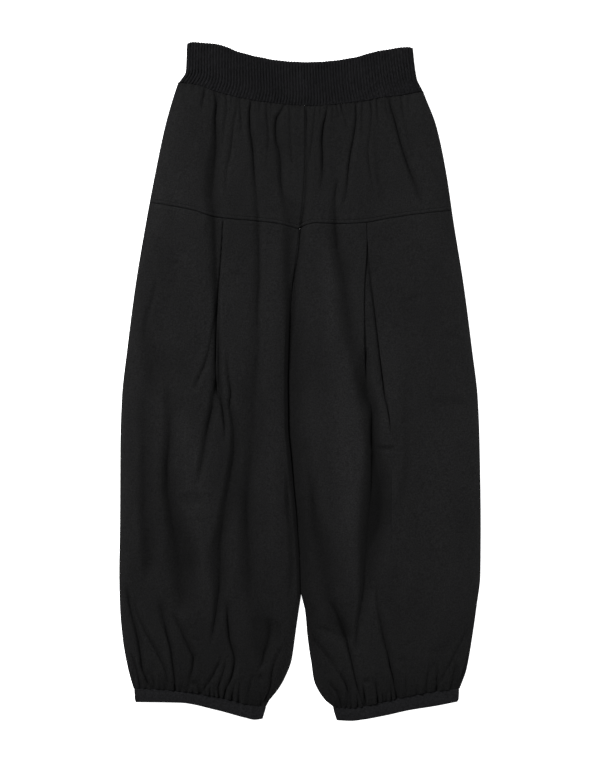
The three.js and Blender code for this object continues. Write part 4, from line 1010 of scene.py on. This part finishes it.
hem_rows = np.concatenate([[0, 0.02, 0.05, 0.08], np.linspace(0.14, 0.86, 9), [0.92, 0.96, 0.985, 1]])
for side in ("left", "right"):
    yoke_rows = rows_down(YOKE_LENGTH, YOKE_STEP, PLAIN_END, STITCHED_END)
    back_yoke_rows = rows_down(YOKE_LENGTH, BACK_YOKE_STEP)
    leg_rows = rows_down(LEG_LENGTH, LEG_STEP)
    back_leg_rows = rows_down(LEG_LENGTH, BACK_LEG_STEP)
    grids = {
        "front_yoke": yoke_grid(side, yoke_rows, YOKE_COLUMNS, front_height, 0),
        "back_yoke": yoke_grid(side, back_yoke_rows, BACK_YOKE_COLUMNS, back_height, BACK_SHIFT),
        "front_leg": leg_grid(side, leg_rows, LEG_COLUMNS[side], front_height, True, 0),
        "back_leg": leg_grid(side, back_leg_rows, BACK_LEG_COLUMNS, back_height, False, BACK_SHIFT),
    }
    for part, grid in grids.items():
        points, faces = shell(grid, CLOTH)
        piece = mesh_object(f"{part}_cloth_{side}", points, faces, twill)
        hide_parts(f"{part}_{side}")
    points, faces = tube(*band_grid(
        HEM_BAND_ENDS[side], lambda x: across(HEM_SEAMS[side], x) - BAND_INSET,
        lambda x: across(HEM_EDGES[side], x), HEM_WALL, HEM_SLOT, HEM_POINTS, hem_rows, hem_relief(HEM_GATHERS)))
    piece = mesh_object(f"hem_band_cloth_{side}", points, faces, hem_twill)
    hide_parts(f"hem_band_{side}")

for side in ("left", "right"):
    def on_yoke(x, side=side):
        y = across(YOKE_SEAMS[side], x) + STITCH_RISE
        return y, front_height(side, x, y) + CLOTH / 2

    points, faces = stitch_row(*STITCHED[side], on_yoke)
    mesh_object(f"yoke_stitches_{side}", points, faces, thread)

for side in ("left", "right"):
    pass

# The floor, the lamps with place, size and power, and the light from all round
FLOOR_HALF, FLOOR_Z = 6, -0.0002
FLOOR_COLOUR, FLOOR_GLOW = (0.9, 0.9, 0.9, 1), 1.1
LAMPS = [
    ("key", (-2.9, 2.1, 3), (1.2, 1.2), 320),
    ("fill", (2.4, 0, 0.8), (1.2, 0.7), 42),
]
WHITE = (1, 1, 1, 1)
WORLD_LIGHT = 0.2

mesh = bpy.data.meshes.new("floor")
corners = [(-1, -1), (1, -1), (1, 1), (-1, 1)]
mesh.from_pydata([(FLOOR_HALF * x, FLOOR_HALF * y, FLOOR_Z) for x, y in corners], [], [(0, 1, 2, 3)])
floor = bpy.data.objects.new("floor", mesh)
bpy.context.scene.collection.objects.link(floor)
paper, tree, shader, _ = new_material("floor_paper")
connect(tree, shader, {"Base Color": FLOOR_COLOUR, "Emission Color": WHITE, "Emission Strength": FLOOR_GLOW})
set_matt(shader, 1, 0, 0, 0.5)
mesh.materials.append(paper)

for name, place, size, power in LAMPS:
    light = bpy.data.lights.new(name, "AREA")
    light.shape = "RECTANGLE"
    light.size, light.size_y = size
    light.energy = power
    lamp = bpy.data.objects.new(name, light)
    lamp.location = place
    lamp.rotation_euler = (-Vector(place)).to_track_quat("-Z", "Y").to_euler()
    bpy.context.scene.collection.objects.link(lamp)

world = bpy.data.worlds.new("studio")
bpy.context.scene.world = world
world.use_nodes = True
world.node_tree.nodes["Background"].inputs["Color"].default_value = WHITE
world.node_tree.nodes["Background"].inputs["Strength"].default_value = WORLD_LIGHT
bpy.context.scene.view_settings.view_transform = "Standard"

# Straight down, so that the photograph's 760 pixels of height span the same length on the cloth
PHOTO_PIXEL = 900 / 679
FRAME_HEIGHT = 760 * PHOTO_PIXEL * MM
LENS, SENSOR = 100, 36
CLOTH_LEVEL = 0.003
CAMERA_Y = 0.002
camera = bpy.data.objects.new("camera", bpy.data.cameras.new("camera"))
camera.data.lens = LENS
camera.data.sensor_width = SENSOR
camera.location = (0, CAMERA_Y, CLOTH_LEVEL + FRAME_HEIGHT * LENS / SENSOR)
bpy.context.scene.collection.objects.link(camera)
bpy.context.scene.camera = camera
